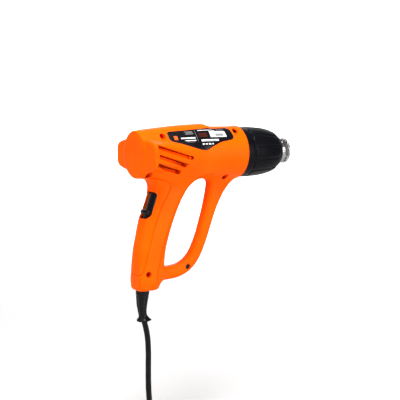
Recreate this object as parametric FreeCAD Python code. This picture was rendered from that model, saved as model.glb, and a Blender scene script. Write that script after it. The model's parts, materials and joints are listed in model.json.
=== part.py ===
import FreeCAD, Part
import math
import os

# Corded two-speed heat gun with a closed D handle.
# Millimetres. +X runs along the barrel towards the nozzle, +Z is up, the shells meet at Y = 0.
# The origin is the middle of the grip.

V = FreeCAD.Vector

# ---------------------------------------------------------------- driving dimensions
AXIS_Z = 91.5               # barrel axis above the grip centre
REAR_X = -27.5              # flat rear face
REAR_RADIUS = 29.4          # housing radius at the rear face
BARREL_MID_X = 70.0         # the barrel's side runs straight to here, then eases off
BARREL_MID_RADIUS = 33.6
RING_X = 125.0              # where the housing ends and the collar begins
RING_RADIUS = 34.5          # housing radius at that joint
SPIGOT_RADIUS = 31.6        # the collar's spigot, inside the housing
SPIGOT_LENGTH = 8.0
WALL = 2.6                  # housing wall
EDGE = 2.0                  # bevel round the rear face
EAR_REACH = 50.0            # half width over the two standing ears
EAR_TALL = 13.0             # half height of an ear's flat end
EAR_SHOULDER = (27.0, 22.0) # where its sloped sides meet the rear face's round, (y, z)
EAR_END_X = 62.0            # the ears have faded into the barrel here
SPINE_TOP_Z = 130.0
SPINE_CROWN_RADIUS = 24.0
COLLAR_END_X = 192.0
NECK_END_X = 196.5
NOZZLE_END_X = 207.0
NOZZLE_RADIUS = 17.5        # takes the usual 35 mm slip-on attachments
NECK_RADIUS = 17.2          # the tube behind that end, inside the collar
NOZZLE_BORE_RADIUS = 16.7
NOZZLE_START_X = 84.0
FLANGE_RADIUS = 26.0        # flange that seats the tube against the housing
FLANGE_THICKNESS = 1.5
BAND_X = (199.0, 205.4)     # shallow band between two beads, with the windows in it
BAND_RADIUS = 17.2
WINDOWS = 10
WINDOW_WIDTH = 8.6
WINDOW_X = (199.4, 205.0)
FIRST_WINDOW_ANGLE = 25.0
GUARD_HALF_WIDTH = 8.6

# (height, centre x, half depth, half width, corner radius) of the grip's level sections
GRIP_SECTIONS = [
    (74.0, 30.0, 34.0, 17.0, 12.0),
    (60.0, 26.0, 31.0, 17.0, 12.5),
    (46.0, 20.0, 25.6, 16.6, 13.0),
    (31.0, 12.8, 23.3, 16.5, 13.0),
    (11.0, 4.5, 22.3, 16.5, 13.0),
    (-9.0, -1.5, 21.0, 16.5, 13.0),
    (-29.0, -6.4, 20.2, 16.5, 13.0),
    (-50.0, -9.0, 20.0, 16.8, 13.0),
]
BASE_SECTIONS = [
    (-50.0, -9.0, 20.0, 16.8, 13.0),
    (-60.0, -9.8, 20.2, 17.0, 13.0),
    (-67.0, -11.3, 18.9, 17.0, 12.5),
    (-72.0, -13.0, 17.2, 16.3, 12.0),
    (-77.5, -13.4, 14.6, 14.0, 10.0),
    (-81.5, -13.0, 11.0, 11.0, 8.0),
]
# (x, z, half thickness) along the middle of the finger guard, from the barrel to the grip foot
GUARD_LINE = [
    (103.0, 68.0, 20.0),
    (93.5, 46.0, 12.8),
    (84.6, 22.0, 8.9),
    (77.4, 0.8, 7.8),
    (70.0, -20.0, 7.4),
    (60.5, -39.5, 7.4),
    (49.5, -51.5, 7.5),
    (35.0, -58.5, 7.6),
    (18.0, -60.2, 7.8),
    (0.0, -60.4, 7.8),
]

# (x, z, half width of the housing there) of the six housing screws
SCREWS = [
    (2.0, 114.3, 22.0),
    (112.0, 119.4, 20.0),
    (100.0, 60.6, 15.0),
    (-15.0, 67.6, 18.0),
    (-16.0, -57.5, 15.5),
    (46.5, -55.0, 8.0),
]
SCREW_SHANK_RADIUS = 1.5
SCREW_HEAD_RADIUS = 2.9
SCREW_HEAD_HEIGHT = 2.4
SCREW_WELL_RADIUS = 3.3
SCREW_SEAT_Y = -3.6         # the heads bear here, down inside their wells
SCREW_TIP_Y = 6.5
BOSS_RADIUS = 4.9

# three slanted air slots in each side: ((rear x, z), (front x, z)) of the slot's middle line
AIR_SLOTS = [
    ((-17.0, 102.4), (36.5, 87.3)),
    ((-15.8, 91.2), (28.8, 78.8)),
    ((-17.6, 81.2), (24.0, 69.8)),
]
AIR_SLOT_HEIGHT = 4.4

# slide switch in the back of the grip
SLIDE_LEAN = math.radians(19.6)     # the back of the grip leans this far from upright
SLIDE_REF = V(-14.2, 0, 21.0)       # a point on the back surface, level with the thumb ridge
SLOT_HALF_WIDTH = 13.2
SLOT_CORNER = 6.0
SLOT_BELOW = 10.0                   # opening below and above the reference point
SLOT_ABOVE = 26.0
SLIDER_DEPTH = 3.9                  # face of the slider below the back surface
SLIDER_THICKNESS = 2.0
SLIDER_HALF_WIDTH = 12.4
SLIDER_ARC_RADIUS = 20.0
SLIDER_TRAVEL = 11.0
RIDGE_HEIGHT = 1.6                  # thumb ridge above the back surface
STEM_Z = (8.0, 14.0)                # stem of the slider, in the switch's own frame

# fan, motor and heater
MOTOR_RADIUS = 16.0
MOTOR_X = (-8.0, 34.0)
MOTOR_WALL = 1.2
MOTOR_CAP = 3.0
BUSH_RADIUS = 4.0
NOSE_LENGTH = 5.0                   # collar on the motor's front that holds a bush
ARMATURE_RADIUS = 11.0
MAGNET_BORE = 11.8
SHAFT_RADIUS = 1.6
FAN_TIP_RADIUS = 24.8
FAN_HUB_RADIUS = 7.0
FAN_BLADES = 11
FAN_X = (42.0, 54.0)
BLADE_PITCH = 24.0                  # degrees out of the shaft's direction
RUNNING_GAP = 0.05                  # radial clearance of the shaft in its bushes
GUIDE_X = (36.5, 55.5)
GUIDE_RADIUS = 28.4
GUIDE_WALL = 1.5
SHIELD_RADIUS = 22.5                # steel heat shield round the nozzle tube
SHIELD_X = (86.0, 180.0)
SLEEVE_RADIUS = 16.4                # mica sleeve inside the nozzle tube
SLEEVE_X = (86.0, 205.0)
SKIN = 0.5                          # thickness of shield and sleeve
CORE_RADIUS = 10.2
CORE_X = (90.0, 186.0)
CORE_HOLES = 6
COIL_RADIUS = 12.6
COIL_WIRE_RADIUS = 0.7
COIL_PITCH = 6.5
COIL_TURNS = 12

# mains lead
CORD_RADIUS = 3.7
FLOOR_Z = -268.0
BOOT_TOP = V(-16.5, 0, -81.5)
BOOT_LEAN_TOP = math.radians(-4.0)  # the boot leaves the foot leaning back a little
BOOT_LEAN_END = math.radians(16.0)  # and curves forward towards its end
BOOT_STRAIGHT = 12.0
BOOT_LENGTH = 40.0
TIE_THICKNESS = 1.2
TURN_RADII = (34.0, 41.4, 48.8)     # the three columns of turns in the coil
LAYERS = 2
PLUG_LENGTH = 50.0
PLUG_HALF_WIDTH = 17.0
PLUG_HALF_HEIGHT = 8.5
PIN_RADIUS = 2.4
PIN_SPACING = 19.0
PIN_LENGTH = 19.0


# ---------------------------------------------------------------- small tools
def save(shape, name):
    shape.exportStep("parts/" + name + ".step")
    bounds = shape.BoundBox
    print("%-18s solids %2d  volume %9.1f  X %.1f..%.1f  Y %.1f..%.1f  Z %.1f..%.1f" % (
        name, len(shape.Solids), shape.Volume, bounds.XMin, bounds.XMax,
        bounds.YMin, bounds.YMax, bounds.ZMin, bounds.ZMax))


def block(x0, x1, y0, y1, z0, z1):
    return Part.makeBox(x1 - x0, y1 - y0, z1 - z0, V(x0, y0, z0))


def rod(start, end, radius):
    along = end - start
    return Part.makeCylinder(radius, along.Length, start, along)


def tube(start, end, outer, inner):
    return rod(start, end, outer).cut(rod(start, end, inner))


def on_axis(x, radius=0.0, angle=0.0):
    """A point at this distance from the barrel axis; angle 0 is +Y and 90 degrees is up."""
    return V(x, radius * math.cos(angle), AXIS_Z + radius * math.sin(angle))


def barrel_rod(x0, x1, radius):
    return rod(on_axis(x0), on_axis(x1), radius)


def barrel_tube(x0, x1, outer, inner):
    return tube(on_axis(x0), on_axis(x1), outer, inner)


def turned(profile):
    """Solid of revolution about the barrel axis from a closed outline of (x, radius) points."""
    points = [V(x, 0, AXIS_Z + radius) for x, radius in profile]
    face = Part.Face(Part.makePolygon(points + points[:1]))
    return face.revolve(on_axis(0), V(1, 0, 0), 360)


def rounded_section(z, centre, depth, width, corner):
    """Level outline: a rectangle of these half sizes with round corners."""
    x0, x1 = centre - depth, centre + depth
    mid = corner * (1 - math.sqrt(0.5))
    edges = []
    for sx, sy, first_x in ((1, 1, False), (-1, 1, True), (-1, -1, False), (1, -1, True)):
        cx = x1 if sx > 0 else x0
        on_side = V(cx, sy * (width - corner), z)
        on_end = V(cx - sx * corner, sy * width, z)
        middle = V(cx - sx * mid, sy * (width - mid), z)
        ends = (on_end, on_side) if first_x else (on_side, on_end)
        edges.append(Part.Arc(ends[0], middle, ends[1]).toShape())
    closed = []
    for arc, following in zip(edges, edges[1:] + edges[:1]):
        closed.append(arc)
        end = arc.valueAt(arc.LastParameter)
        closed.append(Part.makeLine(end, following.valueAt(following.FirstParameter)))
    return Part.Wire(closed)


def lofted(sections, inset):
    wires = [rounded_section(z, x, a - inset, b - inset, c - inset) for z, x, a, b, c in sections]
    return Part.makeLoft(wires, True, False)


def plate_xz(outline, half_width):
    """Flat shape in the XZ plane made this thick to both sides of the middle."""
    points = [V(x, -half_width, z) for x, z in outline]
    face = Part.Face(Part.makePolygon(points + points[:1]))
    return face.extrude(V(0, 2 * half_width, 0))


def rounded_path(points, report=None):
    """Straight runs joined by tangent arcs, each as large as its two runs allow."""
    edges = []
    last = points[0]
    radii = []
    for before, corner, after in zip(points, points[1:], points[2:]):
        back = (before - corner)
        ahead = (after - corner)
        reach = 0.45 * min(back.Length, ahead.Length)
        back.normalize()
        ahead.normalize()
        half_turn = (math.pi - back.getAngle(ahead)) / 2
        radius = reach / math.tan(half_turn)
        radii.append(radius)
        bisector = back + ahead
        bisector.normalize()
        sagitta = radius / math.cos(half_turn) - radius
        start = corner + back * reach
        end = corner + ahead * reach
        edges.append(Part.LineSegment(last, start).toShape())
        edges.append(Part.Arc(start, corner + bisector * sagitta, end).toShape())
        last = end
    edges.append(Part.LineSegment(last, points[-1]).toShape())
    if report:
        print(report, "arc radii:", " ".join("%.0f" % r for r in radii))
    return Part.Wire(edges)


def swept(points, radius, report=None):
    """Round tube along a rounded path, checked against its section times its length."""
    path = rounded_path(points, report)
    direction = points[1] - points[0]
    circle = Part.Wire(Part.Circle(points[0], direction, radius).toShape())
    solid = path.makePipeShell([circle], True, False)
    if report:
        expected = math.pi * radius ** 2 * path.Length
        print("%s length %.1f, volume %.0f, section times length %.0f" % (
            report, path.Length, solid.Volume, expected))
    return solid


# ---------------------------------------------------------------- housing
def barrel_body(inset):
    radius_rear = REAR_RADIUS - inset
    x0 = REAR_X + inset
    profile = [(x0, 0), (x0, radius_rear - EDGE), (x0 + EDGE, radius_rear),
               (BARREL_MID_X, BARREL_MID_RADIUS - inset), (RING_X, RING_RADIUS - inset), (RING_X, 0)]
    return turned(profile)


def ears(inset):
    """Side fairings that widen to the standing ears at the rear face."""
    x0 = REAR_X + inset
    reach = EAR_REACH - inset
    tall = EAR_TALL - 0.5 * inset
    side = EAR_SHOULDER[0]
    shoulder = EAR_SHOULDER[1] - inset
    rear = [(reach, -tall), (reach, tall), (side, shoulder), (-side, shoulder),
            (-reach, tall), (-reach, -tall), (-side, -shoulder), (side, -shoulder)]
    front = [(30, -9), (30, 9), (22, 18), (-22, 18), (-30, 9), (-30, -9), (-22, -18), (22, -18)]

    def outline(points, x, shrink):
        corners = [V(x, y * shrink, AXIS_Z + z * shrink) for y, z in points]
        return Part.makePolygon(corners + corners[:1])

    shrink = 1 - inset / 31.0
    stations = [outline(rear, x0, 1.0), outline(rear, x0 + 7, 1.0), outline(front, EAR_END_X, shrink)]
    return Part.makeLoft(stations, True, True)


def spine(inset):
    """Low ridge along the top of the barrel, stepped down in front for the top plate."""
    x0 = REAR_X + 4 + inset
    top = [(x0, 121), (10, 126), (32, 128.2), (BARREL_MID_X, SPINE_TOP_Z), (78, 127.2), (RING_X - 2, 126.0)]
    outline = [(x0, 105)] + [(x, z - inset) for x, z in top] + [(RING_X - 2, 105)]
    centre_z = SPINE_TOP_Z - SPINE_CROWN_RADIUS
    crown = rod(V(-40, 0, centre_z), V(140, 0, centre_z), SPINE_CROWN_RADIUS - inset)
    return plate_xz(outline, 30).common(crown)


def guard(inset):
    """Finger guard: a flat loop from the barrel down to the foot of the grip."""
    outer, inner = [], []
    for index, (x, z, half) in enumerate(GUARD_LINE):
        x_before, z_before = GUARD_LINE[max(index - 1, 0)][:2]
        x_after, z_after = GUARD_LINE[min(index + 1, len(GUARD_LINE) - 1)][:2]
        length = math.hypot(x_after - x_before, z_after - z_before)
        nx = -(z_after - z_before) / length
        nz = (x_after - x_before) / length
        reach = half - inset
        half_width = GUARD_HALF_WIDTH - inset
        outer.append(V(x + nx * reach, -half_width, z + nz * reach))
        inner.append(V(x - nx * reach, -half_width, z - nz * reach))
    edges = []
    for line in (outer, inner[::-1]):
        curve = Part.BSplineCurve()
        curve.interpolate(line)
        edges.append(curve.toShape())
    edges.insert(1, Part.makeLine(outer[-1], inner[-1]))
    edges.append(Part.makeLine(inner[0], outer[0]))
    face = Part.Face(Part.Wire(edges))
    return face.extrude(V(0, 2 * half_width, 0))


def opening_roof(inset):
    """Web that closes the top of the finger opening, between the grip and the guard."""
    outline = [(40, 70), (40, 40), (47, 46.5), (52, 50.8), (57.5, 53.2), (64, 54.2), (72, 54.2),
               (76.5, 52.6), (80, 46), (92, 50), (92, 70)]
    floor = [(x, z + inset) for x, z in outline]
    return plate_xz(floor, GUARD_HALF_WIDTH - inset)


def gun_body(inset):
    grip = lofted(GRIP_SECTIONS, inset)
    base = lofted(BASE_SECTIONS, inset)
    if inset:
        base = base.cut(block(-60, 40, -30, 30, -100, BASE_SECTIONS[-1][0] + inset))
    body = barrel_body(inset)
    for piece in (ears(inset), spine(inset), grip, base, guard(inset), opening_roof(inset)):
        body = body.fuse(piece)
    return body


def slide_place(shape):
    """Move a shape drawn upright at the origin into the leaning frame of the slide switch."""
    placed = shape.copy()
    placed.rotate(V(0, 0, 0), V(0, 1, 0), math.degrees(SLIDE_LEAN))
    placed.translate(SLIDE_REF)
    return placed


def slide_arc(depth, half_width, length_below, length_above, thickness):
    """Bent plate across the round back of the grip, this far below its surface."""
    centre = V(SLIDER_ARC_RADIUS, 0, -length_below)
    height = length_below + length_above
    outer = Part.makeCylinder(SLIDER_ARC_RADIUS - depth, height, centre)
    inner = Part.makeCylinder(SLIDER_ARC_RADIUS - depth - thickness, height, centre)
    window = block(-20, SLIDER_ARC_RADIUS - 1, -half_width, half_width, -length_below - 1, length_above + 1)
    return outer.cut(inner).common(window)


def switch_opening():
    radius = SLOT_CORNER
    low, high = -SLOT_BELOW, SLOT_ABOVE
    upright = block(-12, 12, -SLOT_HALF_WIDTH, SLOT_HALF_WIDTH, low + radius, high - radius)
    inner = block(-12, 12, -SLOT_HALF_WIDTH + radius, SLOT_HALF_WIDTH - radius, low, high)
    shape = upright.fuse(inner)
    for y in (-SLOT_HALF_WIDTH + radius, SLOT_HALF_WIDTH - radius):
        for z in (low + radius, high - radius):
            shape = shape.fuse(rod(V(-12, y, z), V(12, y, z), radius))
    return slide_place(shape)


def air_slot(rear, front, side):
    """Round-ended slot cut through one side of the housing."""
    along = V(front[0] - rear[0], 0, front[1] - rear[1])
    angle = -math.degrees(math.atan2(along.z, along.x))
    half = AIR_SLOT_HEIGHT / 2
    depth = 44.0
    y0 = 14.0 if side > 0 else -14.0 - depth
    slot = block(0, along.Length, y0, y0 + depth, -half, half)
    for x in (0, along.Length):
        slot = slot.fuse(rod(V(x, y0, 0), V(x, y0 + depth, 0), half))
    slot.rotate(V(0, 0, 0), V(0, 1, 0), angle)
    slot.translate(V(rear[0], 0, rear[1]))
    return slot


def boot_lean(distance):
    bent = max(distance - BOOT_STRAIGHT, 0.0) / (BOOT_LENGTH - BOOT_STRAIGHT)
    return BOOT_LEAN_TOP + (BOOT_LEAN_END - BOOT_LEAN_TOP) * min(bent, 1.0)


def boot_along(distance):
    lean = boot_lean(distance)
    return V(math.sin(lean), 0, -math.cos(lean))


def boot_point(distance):
    """Point on the middle line of the strain relief, this far below the foot of the grip."""
    point = BOOT_TOP + boot_along(0) * min(distance, BOOT_STRAIGHT)
    steps = max(1, math.ceil(distance - BOOT_STRAIGHT))
    step = max(distance - BOOT_STRAIGHT, 0.0) / steps
    for index in range(steps):
        point = point + boot_along(BOOT_STRAIGHT + (index + 0.5) * step) * step
    return point


def housing():
    outer = gun_body(0)
    shell = outer.cut(gun_body(WALL))
    for x, z, half_width in SCREWS:
        boss = rod(V(x, -half_width, z), V(x, half_width, z), BOSS_RADIUS).common(outer)
        shell = shell.fuse(boss)
    shell = shell.cut(barrel_rod(RING_X - SPIGOT_LENGTH - 1.0, RING_X + 1, SPIGOT_RADIUS + 0.1))
    for x, z, half_width in SCREWS:
        shell = shell.cut(rod(V(x, -40, z), V(x, SCREW_SEAT_Y, z), SCREW_WELL_RADIUS))
        shell = shell.cut(rod(V(x, SCREW_SEAT_Y, z), V(x, 0, z), SCREW_SHANK_RADIUS + 0.2))
        shell = shell.cut(rod(V(x, 0, z), V(x, SCREW_TIP_Y, z), SCREW_SHANK_RADIUS))
    for rear, front in AIR_SLOTS:
        for side in (-1, 1):
            shell = shell.cut(air_slot(rear, front, side))
    shell = shell.cut(switch_opening())
    shell = shell.cut(block(50, 59, -7, 7, 59.6, 64))     # the heater leads pass here
    shell = shell.cut(rod(boot_point(-12), boot_point(8), 6.5))
    shell = shell.cut(TOP_PLATE)
    right = shell.common(block(-80, 160, -70, 0, -100, 160))
    left = shell.common(block(-80, 160, 0, 70, -100, 160))
    return right, left


# recessed blank plate on the step of the spine
TOP_PLATE = block(80.0, 121.0, -9.0, 9.0, 125.0, 126.6).common(
    rod(V(0, 0, AXIS_Z + 1.0), V(140, 0, AXIS_Z + 1.0), 34.6))


# ---------------------------------------------------------------- barrel pieces
def collar():
    """Black heat guard: a turned shell with a spigot that sits inside the housing."""
    outer = [(RING_X, 33.9), (142, 33.7), (158, 32.9), (172, 31.0), (181, 28.6), (187, 25.6),
             (190.5, 22.6), (COLLAR_END_X, 19.4)]
    spigot_x = RING_X - SPIGOT_LENGTH
    inner = [(COLLAR_END_X, NECK_RADIUS), (188, NECK_RADIUS), (177, 25.5), (166, 28.4), (150, 30.0),
             (spigot_x, 29.4), (spigot_x, SPIGOT_RADIUS), (RING_X, SPIGOT_RADIUS)]
    return turned(outer + inner)


def nozzle():
    neck = barrel_tube(NOZZLE_START_X, NECK_END_X, NECK_RADIUS, NOZZLE_BORE_RADIUS)
    free_end = barrel_tube(NECK_END_X, NOZZLE_END_X, NOZZLE_RADIUS, NOZZLE_BORE_RADIUS)
    flange_x = NOZZLE_START_X - FLANGE_THICKNESS
    flange = barrel_tube(flange_x, NOZZLE_START_X, FLANGE_RADIUS, NOZZLE_BORE_RADIUS)
    shape = neck.fuse(free_end).fuse(flange).cut(barrel_tube(BAND_X[0], BAND_X[1], 20, BAND_RADIUS))
    window = block(WINDOW_X[0], WINDOW_X[1], -WINDOW_WIDTH / 2, WINDOW_WIDTH / 2, AXIS_Z + 10, AXIS_Z + 24)
    for index in range(WINDOWS):
        cutter = window.copy()
        cutter.rotate(on_axis(0), V(1, 0, 0), FIRST_WINDOW_ANGLE + 360.0 * index / WINDOWS)
        shape = shape.cut(cutter)
    return shape


def heater_core():
    core = barrel_rod(CORE_X[0], CORE_X[1], CORE_RADIUS)
    for index in range(CORE_HOLES):
        angle = 2 * math.pi * index / CORE_HOLES
        core = core.cut(rod(on_axis(CORE_X[0] - 1, 6.2, angle), on_axis(CORE_X[1] + 1, 6.2, angle), 2.1))
    return core


def heating_coil():
    helix = Part.makeHelix(COIL_PITCH, COIL_PITCH * COIL_TURNS, COIL_RADIUS)
    start = V(COIL_RADIUS, 0, 0)
    along = V(0, 1, COIL_PITCH / (2 * math.pi * COIL_RADIUS))
    circle = Part.Wire(Part.Circle(start, along, COIL_WIRE_RADIUS).toShape())
    coil = Part.Wire(helix).makePipeShell([circle], True, True)
    coil.rotate(V(0, 0, 0), V(0, 1, 0), 90)
    coil.translate(on_axis(CORE_X[0] + 8.0))
    return coil


def pierced_disc(x0, x1, radius, hole_ring, hole_radius, count, centre_hole):
    disc = barrel_rod(x0, x1, radius)
    if centre_hole:
        disc = disc.cut(barrel_rod(x0 - 1, x1 + 1, centre_hole))
    for index in range(count):
        centre = on_axis(0, hole_ring, 2 * math.pi * index / count)
        disc = disc.cut(rod(V(x0 - 1, centre.y, centre.z), V(x1 + 1, centre.y, centre.z), hole_radius))
    return disc


def fan():
    x0, x1 = FAN_X
    wheel = barrel_tube(x0, x1, FAN_HUB_RADIUS, SHAFT_RADIUS)
    wheel = wheel.fuse(barrel_tube(x0, x0 + 1.5, FAN_TIP_RADIUS + 0.2, FAN_HUB_RADIUS - 0.5))
    for index in range(FAN_BLADES):
        blade = block(x0 + 1.0, x1 - 0.5, -0.7, 0.7, AXIS_Z + FAN_HUB_RADIUS - 0.5, AXIS_Z + FAN_TIP_RADIUS)
        blade.rotate(V((x0 + x1) / 2, 0, 0), V(0, 0, 1), BLADE_PITCH)
        blade.rotate(on_axis(0), V(1, 0, 0), 360.0 * index / FAN_BLADES)
        wheel = wheel.fuse(blade)
    return wheel.cut(barrel_rod(x0 - 1, x1 + 1, SHAFT_RADIUS))


def air_guide():
    """Stationary duct round the fan, with the spider that carries the motor."""
    x0, x1 = GUIDE_X
    ring = barrel_tube(x0, x1, GUIDE_RADIUS, GUIDE_RADIUS - GUIDE_WALL)
    spider = barrel_tube(x0, x0 + 2.5, 12.5, BUSH_RADIUS + 0.6)
    for index in range(6):
        arm = block(x0, x0 + 2.5, -1.6, 1.6, AXIS_Z + 12.0, AXIS_Z + GUIDE_RADIUS - 1.0)
        arm.rotate(on_axis(0), V(1, 0, 0), 60.0 * index)
        spider = spider.fuse(arm)
    return ring.fuse(spider)


def motor_parts():
    x0, x1 = MOTOR_X
    bore = MOTOR_RADIUS - MOTOR_WALL
    can = barrel_tube(x0 + MOTOR_CAP, x1, MOTOR_RADIUS, bore)
    can = can.fuse(barrel_tube(x1 - 1.5, x1, bore, BUSH_RADIUS))
    can = can.fuse(barrel_tube(x1, x1 + NOSE_LENGTH, BUSH_RADIUS + 0.5, BUSH_RADIUS))
    cap = barrel_tube(x0, x0 + MOTOR_CAP, MOTOR_RADIUS, BUSH_RADIUS)
    bush_bore = SHAFT_RADIUS + RUNNING_GAP
    bushes = [barrel_tube(x0, x0 + MOTOR_CAP, BUSH_RADIUS, bush_bore),
              barrel_tube(x1 + 0.5, x1 + NOSE_LENGTH, BUSH_RADIUS, bush_bore)]
    magnets = barrel_tube(x0 + 7.0, x1 - 6.0, bore, MAGNET_BORE)
    magnets = magnets.cut(block(x0, x1, -20, 20, AXIS_Z - 3.0, AXIS_Z + 3.0))
    armature = barrel_tube(x0 + 9.0, x1 - 7.0, ARMATURE_RADIUS, SHAFT_RADIUS)
    for index in range(5):
        slot = block(x0, x1, -0.9, 0.9, AXIS_Z + 6.0, AXIS_Z + ARMATURE_RADIUS + 1.0)
        slot.rotate(on_axis(0), V(1, 0, 0), 72.0 * index)
        armature = armature.cut(slot)
    shaft = barrel_rod(x0 - 1.0, FAN_X[1] + 1.0, SHAFT_RADIUS)
    return can, cap, Part.makeCompound(bushes), magnets, armature, shaft


# ---------------------------------------------------------------- switch
def slider():
    plate = slide_arc(SLIDER_DEPTH, SLIDER_HALF_WIDTH, SLOT_BELOW + 9.0, SLOT_ABOVE + 5.0, SLIDER_THICKNESS)
    ridge = slide_arc(-RIDGE_HEIGHT, SLIDER_HALF_WIDTH - 0.6, 3.0, 2.0, SLIDER_DEPTH + 2.0)
    stem = block(SLIDER_DEPTH + 1.0, 9.8, -2.5, 2.5, STEM_Z[0], STEM_Z[1])
    return slide_place(plate.fuse(ridge).fuse(stem))


def switch_body():
    """Slide switch module behind the slider, open along the stem's travel."""
    case = block(8.0, 22.0, -5.6, 5.6, -2.0, 36.0)
    groove = block(7.0, 12.0, -2.9, 2.9, STEM_Z[0] - 1.0, STEM_Z[1] + SLIDER_TRAVEL + 1.0)
    return slide_place(case.cut(groove))


# ---------------------------------------------------------------- strain relief and cord
def boot():
    """Tapered sleeve that curves forward, with a flange inside the foot and a lip at its end."""
    stations = [(0.8, 8.4), (12.0, 7.3), (22.0, 6.5), (30.0, 6.2), (34.5, 7.4), (37.5, 8.6), (BOOT_LENGTH, 8.3)]
    rings = []
    for distance, radius in stations:
        circle = Part.Circle(boot_point(distance), boot_along(distance), radius)
        rings.append(Part.Wire(circle.toShape()))
    shape = Part.makeLoft(rings, True, True)
    neck = rod(boot_point(-8.0), boot_point(0.8), 6.4)
    flange = rod(boot_point(-8.0), boot_point(-4.6), 7.4)
    return shape.fuse(neck).fuse(flange)


DROP_X = -8.5                       # the lead hangs down here
COIL_CENTRE = V(DROP_X - TURN_RADII[-1], -45.0, 0)
COIL_BOTTOM = FLOOR_Z + TIE_THICKNESS
TOP_TURN_Z = COIL_BOTTOM + CORD_RADIUS * (2 * LAYERS - 1)


def coil_point(radius, degrees, z):
    angle = math.radians(degrees)
    return V(COIL_CENTRE.x + radius * math.cos(angle), COIL_CENTRE.y + radius * math.sin(angle), z)


# The hanging stretch: down from the boot, then round onto the outer top turn of the coil.
CORD_DROP = [
    boot_point(BOOT_LENGTH),
    boot_point(BOOT_LENGTH) + boot_along(BOOT_LENGTH) * 10.0,
    V(-9.4, 0, -144.0),
    V(-8.6, 0, -163.0),
    V(-9.3, 0, -192.0),
    V(DROP_X, 0, TOP_TURN_Z + 32.0),
    V(DROP_X, -6.1, TOP_TURN_Z + 17.3),
    V(DROP_X, -17.3, TOP_TURN_Z + 6.1),
    V(DROP_X, -32.0, TOP_TURN_Z),
    coil_point(TURN_RADII[-1], -8.0, TOP_TURN_Z),
]


def coil_ring():
    inner = TURN_RADII[0] - CORD_RADIUS
    outer = TURN_RADII[-1] + CORD_RADIUS
    top = COIL_BOTTOM + 2 * CORD_RADIUS * LAYERS
    bevel = 2.0
    outline = [(inner + bevel, COIL_BOTTOM), (outer - bevel, COIL_BOTTOM), (outer, COIL_BOTTOM + bevel),
               (outer, top - bevel), (outer - bevel, top), (inner + bevel, top), (inner, top - bevel),
               (inner, COIL_BOTTOM + bevel)]
    points = [V(COIL_CENTRE.x + radius, COIL_CENTRE.y, z) for radius, z in outline]
    face = Part.Face(Part.makePolygon(points + points[:1]))
    return face.revolve(COIL_CENTRE, V(0, 0, 1), 360)


def coil_tie():
    """Flat strap round all the turns, on the far side from the plug."""
    inner = TURN_RADII[0] - CORD_RADIUS - 0.6
    outer = TURN_RADII[-1] + CORD_RADIUS + 0.2
    top = COIL_BOTTOM + 2 * CORD_RADIUS * LAYERS + 0.2
    t = TIE_THICKNESS
    band = block(inner - t, outer + t, -4.5, 4.5, FLOOR_Z, top + t)
    hollow = block(inner, outer, -5, 5, COIL_BOTTOM - 0.05, top)
    strap = band.cut(hollow)
    strap.rotate(V(0, 0, 0), V(0, 0, 1), 215)
    strap.translate(V(COIL_CENTRE.x, COIL_CENTRE.y, 0))
    return strap


# The short tail leaves the outer bottom turn along +X and rises a little into the plug.
TAIL_START = coil_point(TURN_RADII[-1], 90.0, COIL_BOTTOM + CORD_RADIUS)
PLUG_START = V(TAIL_START.x + 50.0, TAIL_START.y, FLOOR_Z + PLUG_HALF_HEIGHT)
CORD_TAIL = [
    TAIL_START + V(12.0, 0, 0),
    TAIL_START + V(26.0, 0, 0.6),
    PLUG_START - V(12.0, 0, 0),
    PLUG_START,
]


def plug():
    """Two-pin moulded plug that lies flat, its pins pointing away from the coil."""
    stations = [(0.0, 5.2, 5.2, 4.0), (16.0, 7.0, 6.0, 4.4), (24.0, 12.0, 7.6, 6.0), (34.0, 16.4, 8.4, 7.0),
                (PLUG_LENGTH, PLUG_HALF_WIDTH, PLUG_HALF_HEIGHT, 7.0)]
    wires = []
    for along, half_width, half_height, corner in stations:
        wire = rounded_section(0, 0, half_height, half_width, corner)
        wire.rotate(V(0, 0, 0), V(0, 1, 0), 90)
        wire.translate(PLUG_START + V(along, 0, 0))
        wires.append(wire)
    body = Part.makeLoft(wires, True, True)
    face = PLUG_START + V(PLUG_LENGTH, 0, 0)
    pins = []
    for side in (-0.5, 0.5):
        root = face + V(-10.0, side * PIN_SPACING, 0)
        tip = face + V(PIN_LENGTH - 1.0, side * PIN_SPACING, 0)
        body = body.cut(rod(root, tip, PIN_RADIUS))
        point = Part.makeCone(PIN_RADIUS, PIN_RADIUS - 1.0, 1.0, tip, V(1, 0, 0))
        pins.append(rod(root, tip, PIN_RADIUS).fuse(point))
    return body, Part.makeCompound(pins)


# ---------------------------------------------------------------- inside the shells
def screws():
    made = []
    for x, z, half_width in SCREWS:
        shank = rod(V(x, SCREW_SEAT_Y, z), V(x, SCREW_TIP_Y, z), SCREW_SHANK_RADIUS)
        head = rod(V(x, SCREW_SEAT_Y - SCREW_HEAD_HEIGHT, z), V(x, SCREW_SEAT_Y, z), SCREW_HEAD_RADIUS)
        for size in ((2.0, 0.35), (0.35, 2.0)):
            cut = block(x - size[0], x + size[0], SCREW_SEAT_Y - SCREW_HEAD_HEIGHT - 1,
                        SCREW_SEAT_Y - SCREW_HEAD_HEIGHT + 1.2, z - size[1], z + size[1])
            head = head.cut(cut)
        made.append(shank.fuse(head))
    return Part.makeCompound(made)


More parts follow.
